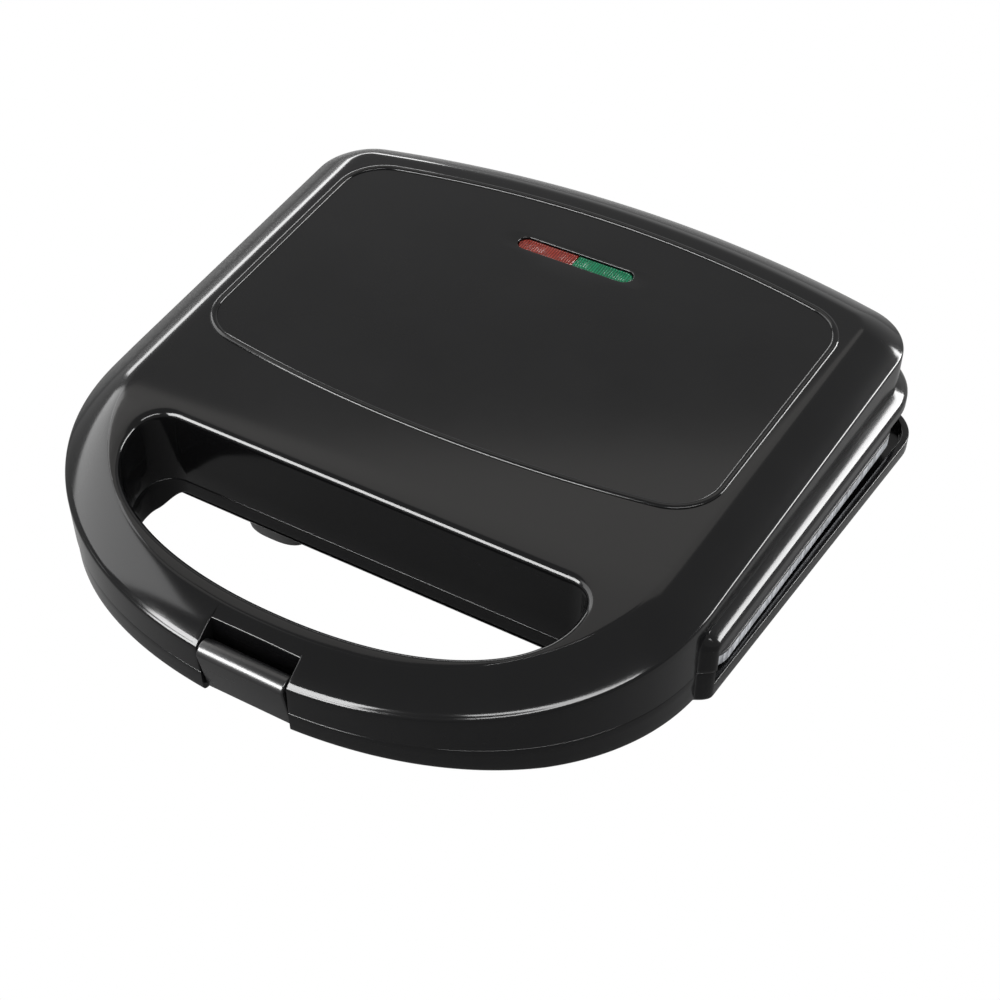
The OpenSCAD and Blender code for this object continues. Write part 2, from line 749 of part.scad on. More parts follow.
module lower_plate() {
    color([0.45, 0.45, 0.46])
    translate([0, 0, part_h])
        plate(false);
}
module lower_element() {
    color([0.35, 0.33, 0.3])
    translate([0, 0, part_h])
        element_tube();
}
module lower_insulators() {
    color([0.9, 0.88, 0.82])
    translate([0, 0, part_h])
        insulator_pair();
}
module lower_clamps() {
    color([0.7, 0.7, 0.72])
    translate([0, 0, part_h])
        clamp_pair();
}
module lower_clamp_screws() {
    color([0.6, 0.6, 0.62])
    translate([0, 0, part_h])
        clamp_screw_set();
}
module lower_reflector() {
    color([0.75, 0.75, 0.77])
    translate([0, 0, part_h])
        reflector_tray();
}
module base_screws() {
    color([0.6, 0.6, 0.62])
    both_sides()
        for (p = post_spots)
            translate([p[0], p[1], part_h - post_top - screw_floor]) {
                translate([0, 0, -head_h])
                    cylinder(h = head_h, r = head_r);
                cylinder(h = screw_floor + post_top - back_h - 1, r = screw_r);
            }
}
// Two-way mains terminal block on the tub's floor.
block_l = 28;
block_w = 14;
block_h = 10;
way_gap = 12;
module terminal_block() {
    color([0.92, 0.92, 0.88])
    translate([0, foot_y1 - block_w - 12, tub_floor])
        difference() {
            translate([-block_l / 2, 0, 0])
                cube([block_l, block_w, block_h]);
            for (x = [-way_gap / 2, way_gap / 2]) {
                translate([x, -1, block_h / 2])
                    rotate([-90, 0, 0])
                        cylinder(h = block_w + 2, r = block_h * 0.22);
                translate([x, block_w / 2, block_h / 2])
                    cylinder(h = block_h, r = block_h * 0.18);
            }
        }
}
// Thermal fuse in its sleeve, lying on the back of a pocket.
fuse_r = 1.9;
fuse_at = [clamp_x - 15, plate_mid - 2];
module thermal_fuse() {
    color([0.8, 0.75, 0.6])
    rod_x(fuse_at[1], part_h - back_h - fuse_r - 0.1, fuse_r, fuse_at[0] - 9, fuse_at[0] + 9);
}
module fuse_clip() {
    color([0.7, 0.7, 0.72])
    translate([fuse_at[0] - 4, fuse_at[1], part_h - back_h])
        difference() {
            translate([0, -fuse_r - 1, -2 * fuse_r - 1])
                cube([8, 2 * fuse_r + 2, 2 * fuse_r + 1]);
            translate([-1, -fuse_r - 0.1, -2 * fuse_r - 0.2])
                cube([10, 2 * fuse_r + 0.2, 2 * fuse_r + 1]);
        }
}
// Moulded gland with a flange outside the boss. No cord is fitted.
gland_flange = 2.5;
module cord_gland() {
    color([0.06, 0.06, 0.06])
    translate([0, inlet_end + gland_flange, inlet_z])
        rotate([90, 0, 0])
            difference() {
                union() {
                    cylinder(h = inlet_l, r = gland_r);
                    cylinder(h = gland_flange, r = inlet_boss_r - 0.5);
                }
                translate([0, 0, -1])
                    cylinder(h = inlet_l + 2, r = inlet_r);
            }
}
module hinge_pins() {
    color([0.75, 0.75, 0.77])
    both_sides()
        rod_x(hinge_y, part_h, hinge_pin_r, ear_spots[0] + 0.5, ear_spots[1] + ear_l - 0.5);
}

// ---- Lid ----
module lid_shell() {
    function ring(off, grow) = flared(off, grow, rear_d, rear_r, corner_r);
    // Rings of the sloped border: u runs from the shoulder (0) to the border's upper edge (1).
    function border(u) =
        let (plain = ring(0, 0), pts = ring(-border_w * u, 0))
        [for (k = [0:len(pts) - 1])
            let (
                y = plain[k][1],
                z = shoulder_z(y) * (1 - u) + crest_z(pts[k][1]) * u + 4 * border_bulge * u * (1 - u)
            ) place(pts[k][0], pts[k][1], z)];
    function at_shoulder(off, dz) = [for (p = ring(off, 0)) place(p[0], p[1], shoulder_z(p[1]) + dz)];
    top_in = ring(-border_w - 0.5, 0);
    foot_in = ring(-wall, lip_w);
    face_top = lip_gap + lip_h;
    skin([
        [for (p = top_in) place(p[0], p[1], crest_z(p[1]) - wall)],
        at_shoulder(-wall, -2.4),
        ring_rise(ring(-wall, 0), face_top + 3),
        ring_rise(foot_in, face_top - 0.5),
        ring_level(foot_in, 0),
        ring_level(ring(0, lip_w), 0),
        ring_rise(ring(0, lip_w), face_top - 1),
        ring_rise(ring(0, lip_w * 0.9), face_top),
        ring_rise(ring(0, lip_w * 0.5), face_top + 1),
        ring_rise(ring(0, lip_w * 0.1), face_top + 2.4),
        at_shoulder(0, -1.4),
        at_shoulder(-0.3, -0.4),
        border(0.07),
        border(0.35),
        border(0.68),
        border(1)
    ], rungs = true);
}
// Right half of the panel's outline: bowed front, corner, side, corner, bowed rear.
panel_front_r = 470;
panel_rear_r = 342;
function panel_outline(off) =
    let (
        s = 0.037,
        a = panel_w + off,
        r = panel_r + off,
        f0 = panel_y0 - off + panel_front_r + off,
        b0 = panel_y1 + off - panel_rear_r - off,
        cf = corner_centre(a, s, f0, panel_front_r + off, r, -1),
        cb = corner_centre(a, s, b0, panel_rear_r + off, r, 1),
        tf = atan2(cf[1] - f0, cf[0]),
        tb = atan2(cb[1] - b0, cb[0])
    ) loop(concat(
        [for (k = [0:3]) let (t = -90 + (tf + 90) * k / 4)
            [0, f0] + (panel_front_r + off) * [cos(t), sin(t)]],
        [for (k = [0:5]) let (t = tf + (-atan(s) - tf) * k / 5) cf + r * [cos(t), sin(t)]],
        [for (k = [0:5]) let (t = -atan(s) + (tb + atan(s)) * k / 5) cb + r * [cos(t), sin(t)]],
        [for (k = [1:4]) let (t = tb + (90 - tb) * k / 4)
            [0, b0] + (panel_rear_r + off) * [cos(t), sin(t)]]
    ));
module slot_shape(l, w) {
    translate([0, lens_y])
        union() {
            square([l - w, w], center = true);
            for (s = [-1, 1])
                translate([s * (l - w) / 2, 0])
                    circle(d = w);
        }
}
bead_post_r = 1.6;
module slot_end_post(h0, h1) {
    p = level(half_w + side_splay * slot_y + lip_w * 0.45, slot_y, 0);
    both_sides()
        translate([p[0], p[1], part_h + h0])
            cylinder(h = h1 - h0, r = bead_post_r);
}
module lid_housing() {
    color([0.03, 0.03, 0.035])
    difference() {
        union() {
            lid_shell();
            on_deck()
                translate([0, 0, -nip])
                    linear_extrude(bead_h + nip)
                        difference() {
                            polygon(panel_outline(bead_w / 2));
                            polygon(panel_outline(-bead_w / 2));
                        }
            hole_wall([
                level_yz(-front_d, 0), level_yz(hole_rear + wall + nip, 0),
                place_yz(hole_rear + wall + nip, -wall / 2), place_yz(hole_rear, -wall / 2),
                place_yz(-front_d, crest_z(-front_d) - wall / 2)
            ]);
            // Block round the latch recess
            section([
                level_yz(-front_d + 1, 0), level_yz(latch_back + wall, 0),
                place_yz(latch_back + wall, shoulder_z(-front_d) + 5),
                place_yz(-front_d + 1, shoulder_z(-front_d) - 0.8)
            ], -block_x, block_x);
            // Hinge knuckles and the webs that join them to the rear wall
            both_sides()
                translate([knuckle_x - knuckle_l / 2, 0, 0]) {
                    rod_x(hinge_y, part_h, knuckle_r, 0, knuckle_l);
                    translate([0, hinge_y - 4, part_h])
                        cube([knuckle_l, 8, lip_gap + lip_h + 6]);
                    translate([0, hinge_y, part_h + lip_gap + 3])
                        cube([knuckle_l, rear_reach - hinge_y, lip_h + 3]);
                }
            // Screw posts under the deck
            both_sides()
                for (p = post_spots)
                    translate([p[0], p[1], part_h + post_top])
                        cylinder(h = deck_over(p[1]) - part_h - post_top - wall / 2, r = post_r - 0.5);
            slot_end_post(0, lip_gap + 2);
        }
        hole_prism(0);
        // Steam slot under the lip
        translate([-big / 2, level(0, slot_y, 0)[1], part_h - 1])
            difference() {
                cube([big, big, lip_gap + 1]);
                translate([big / 2 - knuckle_x - knuckle_l / 2, 0, 0])
                    slot_keep();
                translate([big / 2 + knuckle_x - knuckle_l / 2, 0, 0])
                    slot_keep();
            }
        // Bores of the hinge pins
        both_sides()
            rod_x(hinge_y, part_h, hinge_pin_r + run_fit, knuckle_x - knuckle_l, knuckle_x + knuckle_l);
        // Latch recess
        section([
            level_yz(-front_d - 8, -1), level_yz(latch_back, -1),
            place_yz(latch_back, 10), place_yz(-front_d - 8, 10)
        ], -pocket_x, pocket_x);
        // Bores of the latch pin
        rod_x(latch_axis[0], latch_axis[1], latch_pin_r + set_fit, -block_x + 0.6, block_x - 0.6);
        // Lens slot
        on_deck()
            translate([0, 0, -wall - 3])
                linear_extrude(wall + 6)
                    slot_shape(lens_l + 0.4, lens_w + 0.4);
        // Screw holes in the posts
        both_sides()
            for (p = post_spots)
                translate([p[0], p[1], part_h + post_top - 1])
                    cylinder(h = post_bite + 1, r = screw_r + set_fit);
    }
}
post_bite = 3.5;
// Height of the deck over a place y in the finished model.
function deck_over(y) = deck_h + (y + back_shift) * ts / tc;
rear_reach = level(0, rear_d - knuckle_x * knuckle_x / (2 * rear_r), lip_gap + lip_h)[1] - 0.8;
// What the steam slot's cut leaves standing round a knuckle.
module slot_keep() {
    y = hinge_y - level(0, slot_y, 0)[1];
    translate([0, y - knuckle_r, -1])
        cube([knuckle_l, 2 * knuckle_r, big]);
}

module upper_plate() {
    color([0.16, 0.16, 0.17])
    translate([0, 0, part_h])
        mirror([0, 0, 1])
            plate(true);
}
module upper_element() {
    color([0.35, 0.33, 0.3])
    translate([0, 0, part_h])
        mirror([0, 0, 1])
            element_tube();
}
module upper_insulators() {
    color([0.9, 0.88, 0.82])
    translate([0, 0, part_h])
        mirror([0, 0, 1])
            insulator_pair();
}
module upper_clamps() {
    color([0.7, 0.7, 0.72])
    translate([0, 0, part_h])
        mirror([0, 0, 1])
            clamp_pair();
}
module upper_clamp_screws() {
    color([0.6, 0.6, 0.62])
    translate([0, 0, part_h])
        mirror([0, 0, 1])
            clamp_screw_set();
}
module upper_reflector() {
    color([0.75, 0.75, 0.77])
    translate([0, 0, part_h])
        mirror([0, 0, 1])
            reflector_tray();
}
// Screws from the cooking face into the posts under the deck.
module upper_plate_screws() {
    color([0.6, 0.6, 0.62])
    both_sides()
        for (p = post_spots)
            translate([p[0], p[1], part_h + face_gap + pocket_d - head_h]) {
                cylinder(h = head_h, r = head_r);
                cylinder(h = head_h + post_top + post_bite - face_gap - pocket_d - 0.5, r = screw_r);
            }
}
// Disc thermostat between a pocket's back and the reflector, beside the clamp bar.
thermostat_r = 8;
thermostat_x = clamp_x - clamp_w / 2 - thermostat_r - 2;
module thermostat() {
    color([0.85, 0.8, 0.7])
    translate([thermostat_x, plate_mid, part_h + back_h]) {
        cylinder(h = 6, r = thermostat_r);
        cylinder(h = reflector_h - back_h, r = thermostat_r / 2);
    }
}
lens_drop = 0.8;
lens_flange = 1.2;
module half_lens(s) {
    on_deck()
        intersection() {
            union() {
                translate([0, 0, -wall - nip])
                    linear_extrude(wall + nip - lens_drop)
                        slot_shape(lens_l, lens_w);
                translate([0, 0, -wall - lens_flange])
                    linear_extrude(lens_flange)
                        slot_shape(lens_l + 2.4, lens_w + 2.4);
            }
            translate([s > 0 ? 0.1 : -lens_l, lens_y - lens_w, -20])
                cube([lens_l - 0.1, 2 * lens_w, 40]);
        }
}
module lens_red() {
    color([0.7, 0.12, 0.08])
    half_lens(-1);
}
module lens_green() {
    color([0.05, 0.55, 0.33])
    half_lens(1);
}
lamp_r = 2;
lamp_l = 14;
lamp_z = -wall - lens_flange - 1.2 - lamp_r;
module lamp(s) {
    on_deck()
        rod_x(lens_y, lamp_z, lamp_r, s * lens_l / 4 - lamp_l / 2, s * lens_l / 4 + lamp_l / 2);
}
module lamp_red() {
    color([1, 0.6, 0.4, 0.6])
    lamp(-1);
}
module lamp_green() {
    color([0.6, 1, 0.7, 0.6])
    lamp(1);
}
// Channel that carries the lamps under the lens.
holder_t = 1.5;
module lamp_holder() {
    holder_w = lens_w + 4 * holder_t;
    holder_l = lens_l + 8;
    floor_z = lamp_z - lamp_r - 2 * snug;
    color([0.9, 0.9, 0.9])
    on_deck()
        translate([-holder_l / 2, lens_y - holder_w / 2, floor_z - 1])
            difference() {
                cube([holder_l, holder_w, -wall - floor_z + 1]);
                translate([-1, holder_t, 1])
                    cube([holder_l + 2, holder_w - 2 * holder_t, big]);
            }
}

// ---- Latch ----
module latch_pin() {
    color([0.75, 0.75, 0.77])
    rod_x(latch_axis[0], latch_axis[1], latch_pin_r, -block_x + 1, block_x - 1);
}
hook_root = 1.5;
module latch() {
    low_front = -latch_front + latch_lean;
    hook_y = low_front + latch_t - nip;
    color([0.06, 0.06, 0.065])
    difference() {
        union() {
            rod_x(latch_axis[0], latch_axis[1], latch_r, -latch_w / 2, latch_w / 2);
            section([
                place_yz(-latch_front, latch_z), level_yz(low_front, -latch_low - latch_tip),
                level_yz(low_front + latch_t, -latch_low - latch_tip),
                place_yz(-latch_front + latch_t, latch_z)
            ], -latch_w / 2, latch_w / 2);
            section([
                level_yz(hook_y - hook_root, -latch_low), level_yz(hook_y + hook_l, -latch_low),
                level_yz(hook_y + hook_l, hook_h - latch_low),
                level_yz(hook_y - hook_root, hook_h - latch_low)
            ], -latch_w / 2, latch_w / 2);
        }
        rod_x(latch_axis[0], latch_axis[1], latch_pin_r + run_fit, -latch_w, latch_w);
    }
}

base_housing();
feet();
lower_plate();
lower_element();
lower_insulators();
lower_clamps();
lower_clamp_screws();
lower_reflector();
base_screws();
terminal_block();
thermal_fuse();
fuse_clip();
cord_gland();
hinge_pins();
lid_housing();
upper_plate();
upper_element();
upper_insulators();
upper_clamps();
upper_clamp_screws();
upper_reflector();
upper_plate_screws();
thermostat();
lens_red();
lens_green();
lamp_red();
lamp_green();
lamp_holder();
latch_pin();
latch();
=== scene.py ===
import bmesh
import bpy
import numpy as np
from mathutils import Matrix, Vector


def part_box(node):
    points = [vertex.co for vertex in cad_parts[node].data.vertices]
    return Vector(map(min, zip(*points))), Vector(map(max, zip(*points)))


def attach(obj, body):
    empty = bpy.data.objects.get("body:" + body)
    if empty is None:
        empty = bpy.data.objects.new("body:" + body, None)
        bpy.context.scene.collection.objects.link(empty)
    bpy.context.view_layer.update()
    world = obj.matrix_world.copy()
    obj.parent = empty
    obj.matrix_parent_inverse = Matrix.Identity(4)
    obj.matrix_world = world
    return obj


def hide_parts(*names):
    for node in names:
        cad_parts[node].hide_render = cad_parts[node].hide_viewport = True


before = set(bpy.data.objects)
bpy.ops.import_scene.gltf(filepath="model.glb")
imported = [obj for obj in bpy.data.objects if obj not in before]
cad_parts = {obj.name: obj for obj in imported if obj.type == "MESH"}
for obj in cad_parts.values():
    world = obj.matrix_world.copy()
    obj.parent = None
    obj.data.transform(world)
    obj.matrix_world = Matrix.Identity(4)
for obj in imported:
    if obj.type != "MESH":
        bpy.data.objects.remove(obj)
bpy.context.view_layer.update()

# Lengths here are in millimetres, as on the drawings, and a mesh is scaled to metres when it is
# made. The deck's own frame is tipped: x right, y back from the datum, z up from the deck.
MM = 0.001

# ---- Driving sizes of the casing ----
HALF_W, SIDE_SPLAY = 108.0, 0.041
FRONT_D, FRONT_N = 82.5, 2.2
REAR_D, REAR_R, CORNER_R = 161.8, 377.0, 22.0
WALL = 2.4
PART_H, DECK_H, DECK_TILT = 48.6, 78.0, 3.0
SHOULDER_DROP, NOSE_DROP, SHOULDER_R = 8.0, 6.6, 1.5
NOSE_SINK_Y, NOSE_SINK_POWER = 20.0, 2.2
BORDER_W, BORDER_BULGE, CREST_SOFT = 14.5, 0.4, 1.1
HANDLE_DROP, CREST_BLEND = 6.4, 20.0
LIP_W, LIP_GAP, LIP_TOP, LIP_FACE, LIP_CORNER = 4.0, 7.0, 14.4, 4.2, 5.0
SLOT_Y, EDGE_R = -4.0, 0.4
BEAD_W, BEAD_H = 2.4, 0.8
PANEL_W, PANEL_SPLAY, PANEL_R = 90.0, 0.037, 17.0
PANEL_Y0, PANEL_FRONT_R = 15.1, 470.0
PANEL_Y1, PANEL_REAR_R = 140.3, 342.0
HOLE_W, HOLE_Y, HOLE_D, HOLE_BACK, HOLE_N = 78.0, 26.0, 38.3, 9.0, 2.13
HOLE_EDGE = 2.8
LENS_Y, LENS_L, LENS_W, LENS_DROP = 114.8, 43.4, 6.4, 0.8
LENS_SLOT_GAP, LENS_SLOT_ROUND = 0.2, 0.45
LATCH_W, LATCH_FRONT, LATCH_R, LATCH_T, LATCH_ROOM = 29.6, FRONT_D + 0.6, 3.5, 2.8, 2.25
LATCH_DROP, LATCH_LEAN, LATCH_TIP = 2.2, 2.6, 7.4
HOOK_L, HOOK_TOP, HOOK_LOW = 3.0, 3.1, 5.2
NOTCH_X, NOTCH_EDGE = LATCH_W / 2 + 0.4, 0.5
BLOCK_X = NOTCH_X + WALL

# ---- Driving sizes of the base ----
RIM_H, RIM_NOSE_H, RIM_BEND_H, RIM_SET, RIM_ROUND = 11.5, 7.0, 9.5, 0.2, 2.6
HOLE_LOW, LEDGE_DROP, LEDGE_W, LEDGE_SPLAY = 6.4, 6.0, 3.8, 0.022
BASE_REAR_D, BASE_REAR_R, BASE_CORNER_R = 146.5, 2000.0, 14.0
TUB_W, TUB_BOTTOM_W = 106.0, 80.0
TUB_BOTTOM_Y0, TUB_BOTTOM_Y1 = 12.0, 130.0
FOOT_H = 6.0
CATCH_H, CATCH_Y, CATCH_BACK = 2.8, -77.4, -71.0
KNUCKLE_R, KNUCKLE_X, KNUCKLE_L, EAR_L, EAR_GAP = 6.0, 67.0, 10.0, 9.0, 1.0
HINGE_Y, HINGE_EDGE, HINGE_PIN_R, LATCH_PIN_R = 104.192, 0.7, 2.0, 1.5
INLET_Z, INLET_END, INLET_R, INLET_L = 17.0, 104.297, 3.5, 20.0
GLAND_R, BOSS_R, BOSS_L, GLAND_FLANGE = 6.0, 9.0, 14.0, 2.5

TC = np.cos(np.radians(DECK_TILT))
TS = np.sin(np.radians(DECK_TILT))


# ---- Frames ----
def lay(x, y, z):
    """Stacks three arrays or numbers into points, each stretched to the widest of them."""
    return np.stack(np.broadcast_arrays(x, y, z), -1).astype(float)


def tip_y(y, z):
    """Depth of a deck point before the shift: the deck's frame turned about X by the tilt."""
    return y * TC - z * TS


def wall_z(y, h):
    """Deck-frame height of what stands h above the parting plane under the deck place y."""
    return (PART_H + h - DECK_H - y * TS) / TC


NOSE_END = tip_y(-LATCH_FRONT, -SHOULDER_DROP - NOSE_DROP - LATCH_DROP)
REAR_END = tip_y(REAR_D + LIP_W, wall_z(REAR_D + LIP_W, LIP_GAP))
BACK_SHIFT = (NOSE_END + REAR_END) / 2


def place(p):
    """Turns deck-frame points by the tilt, lifts them to the deck and centres them."""
    x, y, z = p[..., 0], p[..., 1], p[..., 2]
    return lay(x, tip_y(y, z) - BACK_SHIFT, y * TS + z * TC + DECK_H)


def smooth(u):
    """Cubic step from 0 to 1, level at both ends."""
    v = np.clip(u, 0, 1)
    return v * v * (3 - 2 * v)


def arc(n):
    """n angles over a quarter turn, both ends in."""
    return np.linspace(0, np.pi / 2, n)


def column(*values):
    """One value to a row."""
    return np.array(values)[:, None]


MIRROR = np.array([-1, 1, 1])


# ---- Meshes ----
WELD = 2e-4


def linked(name, data):
    """Object that carries data, linked into the scene."""
    item = bpy.data.objects.new(name, data)
    bpy.context.scene.collection.objects.link(item)
    return item


def strips(rows, cols, wrap):
    """Quads between neighbours of a grid, closed round its columns where wrap is set."""
    i = np.arange(rows * cols).reshape(rows, cols)
    if wrap:
        i = np.concatenate([i, i[:, :1]], 1)
    return np.stack([i[:-1, :-1], i[:-1, 1:], i[1:, 1:], i[1:, :-1]], -1).reshape(-1, 4)


def make(name, grids, material, body, replaced, sharp=40, caps=()):
    """Joins grids of millimetre points into one mesh piece. Each grid is (points[rows, cols, 3],
    wrap), and each cap is one flat face of points. Points that round to the same multiple of
    WELD are one, and thin quads that close up with them become triangles or go."""
    points, quads, start = [], [], 0
    for grid, wrap in grids:
        rows, cols = grid.shape[:2]
        points.append(grid.reshape(-1, 3))
        quads.append(strips(rows, cols, wrap) + start)
        start += rows * cols
    flat = []
    for cap in caps:
        points.append(cap)
        flat.append(np.arange(start, start + len(cap)))
        start += len(cap)
    points, quads = np.concatenate(points), np.concatenate(quads)
    _, first, same = np.unique(np.round(points / WELD).astype(np.int64), axis=0,
                               return_index=True, return_inverse=True)
    same = same.reshape(-1)
    points, quads = points[first], same[quads]
    flat = [same[f].tolist() for f in flat]
    follow = np.roll(quads, -1, 1)
    keep = quads != follow
    corners = keep.sum(1)
    full = quads[(corners == 4) & (quads[:, 0] != quads[:, 2]) & (quads[:, 1] != quads[:, 3])]
    thin = quads[corners == 3][keep[corners == 3]].reshape(-1, 3)
    mesh = bpy.data.meshes.new(name)
    mesh.from_pydata((points * MM).tolist(), [], full.tolist() + thin.tolist() + flat)
    mesh.validate()
    work = bmesh.new()
    work.from_mesh(mesh)
    bmesh.ops.recalc_face_normals(work, faces=work.faces)
    work.to_mesh(mesh)
    work.free()
    mesh.shade_smooth()
    mesh.set_sharp_from_angle(angle=np.radians(sharp))
    piece = linked(name, mesh)
    mesh.materials.append(material)
    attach(piece, body)
    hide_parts(*replaced)
    return piece


# ---- Materials ----
CLOUD_SCALE, SCRATCH_SCALE, SCRATCH_DEPTH = 35, 900, 0.00006
LENS_SHEEN, LENS_BAND_SCALE, LENS_BAND_DEPTH, LENS_GRAIN_SCALE = 0.12, 330, 0.0002, 700


def shader(name, color, roughness, **sockets):
    """A material with a Principled shader whose constant values sit on its own sockets."""
    m = bpy.data.materials.new(name)
    m.use_nodes = True
    bsdf = m.node_tree.nodes["Principled BSDF"]
    bsdf.inputs["Base Color"].default_value = (*color, 1)
    bsdf.inputs["Roughness"].default_value = roughness
    for key, value in sockets.items():
        bsdf.inputs[key.replace("_", " ")].default_value = value
    return m, m.node_tree, bsdf


def node(tree, kind, **values):
    """New shader node with its constants on its own sockets."""
    made = tree.nodes.new("ShaderNode" + kind)
    for key, value in values.items():
        made.inputs[key.replace("_", " ")].default_value = value
    return made


def object_noise(tree, scale, detail=2.0, stretch=(1, 1, 1)):
    """Noise over the object's own coordinates, in metres, drawn out by stretch."""
    coords = node(tree, "TexCoord")
    mapping = node(tree, "Mapping", Scale=stretch)
    noise = node(tree, "TexNoise", Scale=scale, Detail=detail)
    tree.links.new(coords.outputs["Object"], mapping.inputs["Vector"])
    tree.links.new(mapping.outputs["Vector"], noise.inputs["Vector"])
    return noise


def spread(tree, source, low, high, target):
    """Maps a 0 to 1 value onto a range and plugs it in."""
    span = node(tree, "MapRange", To_Min=low, To_Max=high)
    tree.links.new(source, span.inputs["Value"])
    tree.links.new(span.outputs["Result"], target)


def ramp(tree, source, stops, target):
    """Colours along a 0 to 1 value, from one stop to another."""
    scale = node(tree, "ValToRGB")
    for element, (at, color) in zip(scale.color_ramp.elements, stops):
        element.position = at
        element.color = (*color, 1)
    tree.links.new(source, scale.inputs["Fac"])
    tree.links.new(scale.outputs["Color"], target)


def bump(tree, bsdf, source, strength, distance):
    """Raises the surface by a 0 to 1 height."""
    raised = node(tree, "Bump", Strength=strength, Distance=distance)
    tree.links.new(source, raised.inputs["Height"])
    tree.links.new(raised.outputs["Normal"], bsdf.inputs["Normal"])


def moulded(name, color, low, high, grain, depth, shine=0.5):
    """Moulded plastic: slightly uneven sheen and a fine surface grain, depth metres deep."""
    m, tree, bsdf = shader(name, color, (low + high) / 2, Specular_IOR_Level=shine)
    cloud = object_noise(tree, CLOUD_SCALE, 3)
    spread(tree, cloud.outputs["Fac"], low, high, bsdf.inputs["Roughness"])
    ramp(tree, cloud.outputs["Fac"],
         [(0.3, tuple(c * 0.9 for c in color)), (0.7, tuple(c * 1.12 for c in color))],
         bsdf.inputs["Base Color"])
    bump(tree, bsdf, object_noise(tree, grain, 2).outputs["Fac"], 1.0, depth)
    return m


def brushed(name, dark, light, low, high, stretch, metallic=1.0):
    """Worked metal: fine scratches along one direction in colour, sheen and height."""
    m, tree, bsdf = shader(name, light, (low + high) / 2, Metallic=metallic)
    lines = object_noise(tree, SCRATCH_SCALE, 4, stretch)
    ramp(tree, lines.outputs["Fac"], [(0.3, dark), (0.7, light)], bsdf.inputs["Base Color"])
    spread(tree, lines.outputs["Fac"], low, high, bsdf.inputs["Roughness"])
    bump(tree, bsdf, lines.outputs["Fac"], 0.35, SCRATCH_DEPTH)
    return m


def tinted(name, color, deep):
    """Clear tinted plastic over a ribbed back: soft bands and a grain, multiplied, run from the
    deep colour to the light one."""
    m, tree, bsdf = shader(name, color, LENS_SHEEN, Specular_IOR_Level=0.12)
    coords = node(tree, "TexCoord")
    wave = node(tree, "TexWave", Scale=LENS_BAND_SCALE, Distortion=1.2)
    wave.wave_type = "BANDS"
    wave.bands_direction = "X"
    tree.links.new(coords.outputs["Object"], wave.inputs["Vector"])
    grain = object_noise(tree, LENS_GRAIN_SCALE)
    mix = node(tree, "Math")
    mix.operation = "MULTIPLY"
    tree.links.new(wave.outputs["Fac"], mix.inputs[0])
    tree.links.new(grain.outputs["Fac"], mix.inputs[1])
    ramp(tree, mix.outputs["Value"], [(0.0, deep), (0.55, color)], bsdf.inputs["Base Color"])
    bump(tree, bsdf, wave.outputs["Fac"], 0.5, LENS_BAND_DEPTH)
    return m


GLOSS_BLACK = moulded("gloss_black_plastic", (0.007, 0.007, 0.0074), 0.1, 0.14, 260, 0.0000006,
                      0.12)
SATIN_BLACK = moulded("satin_black_plastic", (0.011, 0.011, 0.0115), 0.24, 0.3, 900, 0.000006,
                      0.25)
FOOT_RUBBER = moulded("foot_rubber", (0.018, 0.018, 0.018), 0.55, 0.7, 1400, 0.00002)
WHITE_PLASTIC = moulded("white_plastic", (0.78, 0.78, 0.76), 0.4, 0.5, 900, 0.00001)
CERAMIC = moulded("unglazed_ceramic", (0.78, 0.74, 0.66), 0.6, 0.75, 1600, 0.00003)
PLATE_COAT = moulded("non_stick_coat", (0.03, 0.03, 0.031), 0.38, 0.48, 1500, 0.000012, 0.12)
PLATE_METAL = brushed("plate_edge_metal", (0.3, 0.31, 0.33), (0.78, 0.8, 0.84), 0.35, 0.55,
                      (1, 1, 0.15), 0.5)
SHEET_STEEL = brushed("sheet_steel", (0.5, 0.5, 0.51), (0.68, 0.68, 0.69), 0.25, 0.42, (0.1, 1, 1))
SCREW_STEEL = brushed("plated_steel", (0.45, 0.45, 0.46), (0.66, 0.66, 0.68), 0.2, 0.35,
                      (0.3, 1, 1))
ELEMENT_STEEL = brushed("heat_tinted_steel", (0.12, 0.1, 0.09), (0.3, 0.27, 0.24), 0.4, 0.6,
                        (0.1, 1, 1))
RED_LENS = tinted("red_lens_plastic", (0.4, 0.05, 0.032), (0.13, 0.012, 0.008))
GREEN_LENS = tinted("green_lens_plastic", (0.006, 0.3, 0.13), (0.002, 0.09, 0.04))


def lamp_glass():
    """Clear lamp glass with faint streaks."""
    m, tree, bsdf = shader("lamp_glass", (0.9, 0.86, 0.8), 0.08, Transmission_Weight=0.8, IOR=1.5)
    spread(tree, object_noise(tree, 300).outputs["Fac"], 0.05, 0.14, bsdf.inputs["Roughness"])
    return m


LAMP_GLASS = lamp_glass()


# ---- Outline of the casing ----
def shoulder_z(y):
    """The shoulder runs level below the deck and sinks towards the nose by a power curve."""
    along = np.clip((NOSE_SINK_Y - y) / (NOSE_SINK_Y + FRONT_D), 0, None)
    return -SHOULDER_DROP - NOSE_DROP * along ** NOSE_SINK_POWER


CREST_SLOPE = HANDLE_DROP / (HOLE_D + HOLE_BACK)
HOLE_REAR = HOLE_BACK - HOLE_Y


def crest_z(y):
    """The deck is flat, then bends by a parabola into the handle's steady slope."""
    into = np.clip(HOLE_REAR + CREST_BLEND / 2 - y, 0, None)
    bend = np.minimum(into, CREST_BLEND)
    return -CREST_SLOPE * (bend ** 2 / (2 * CREST_BLEND) + np.clip(into - CREST_BLEND, 0, None))


def angle_at(x, off):
    """Superellipse angle at which the front outline, grown by off, has the half width x."""
    y = -(FRONT_D + off)
    for _ in range(6):
        c = np.clip(x / (HALF_W + off + SIDE_SPLAY * y), 0, 1) ** (FRONT_N / 2)
        t = np.arccos(np.clip(c, 0, 1))
        y = -(FRONT_D + off) * np.sin(t) ** (2 / FRONT_N)
    return t


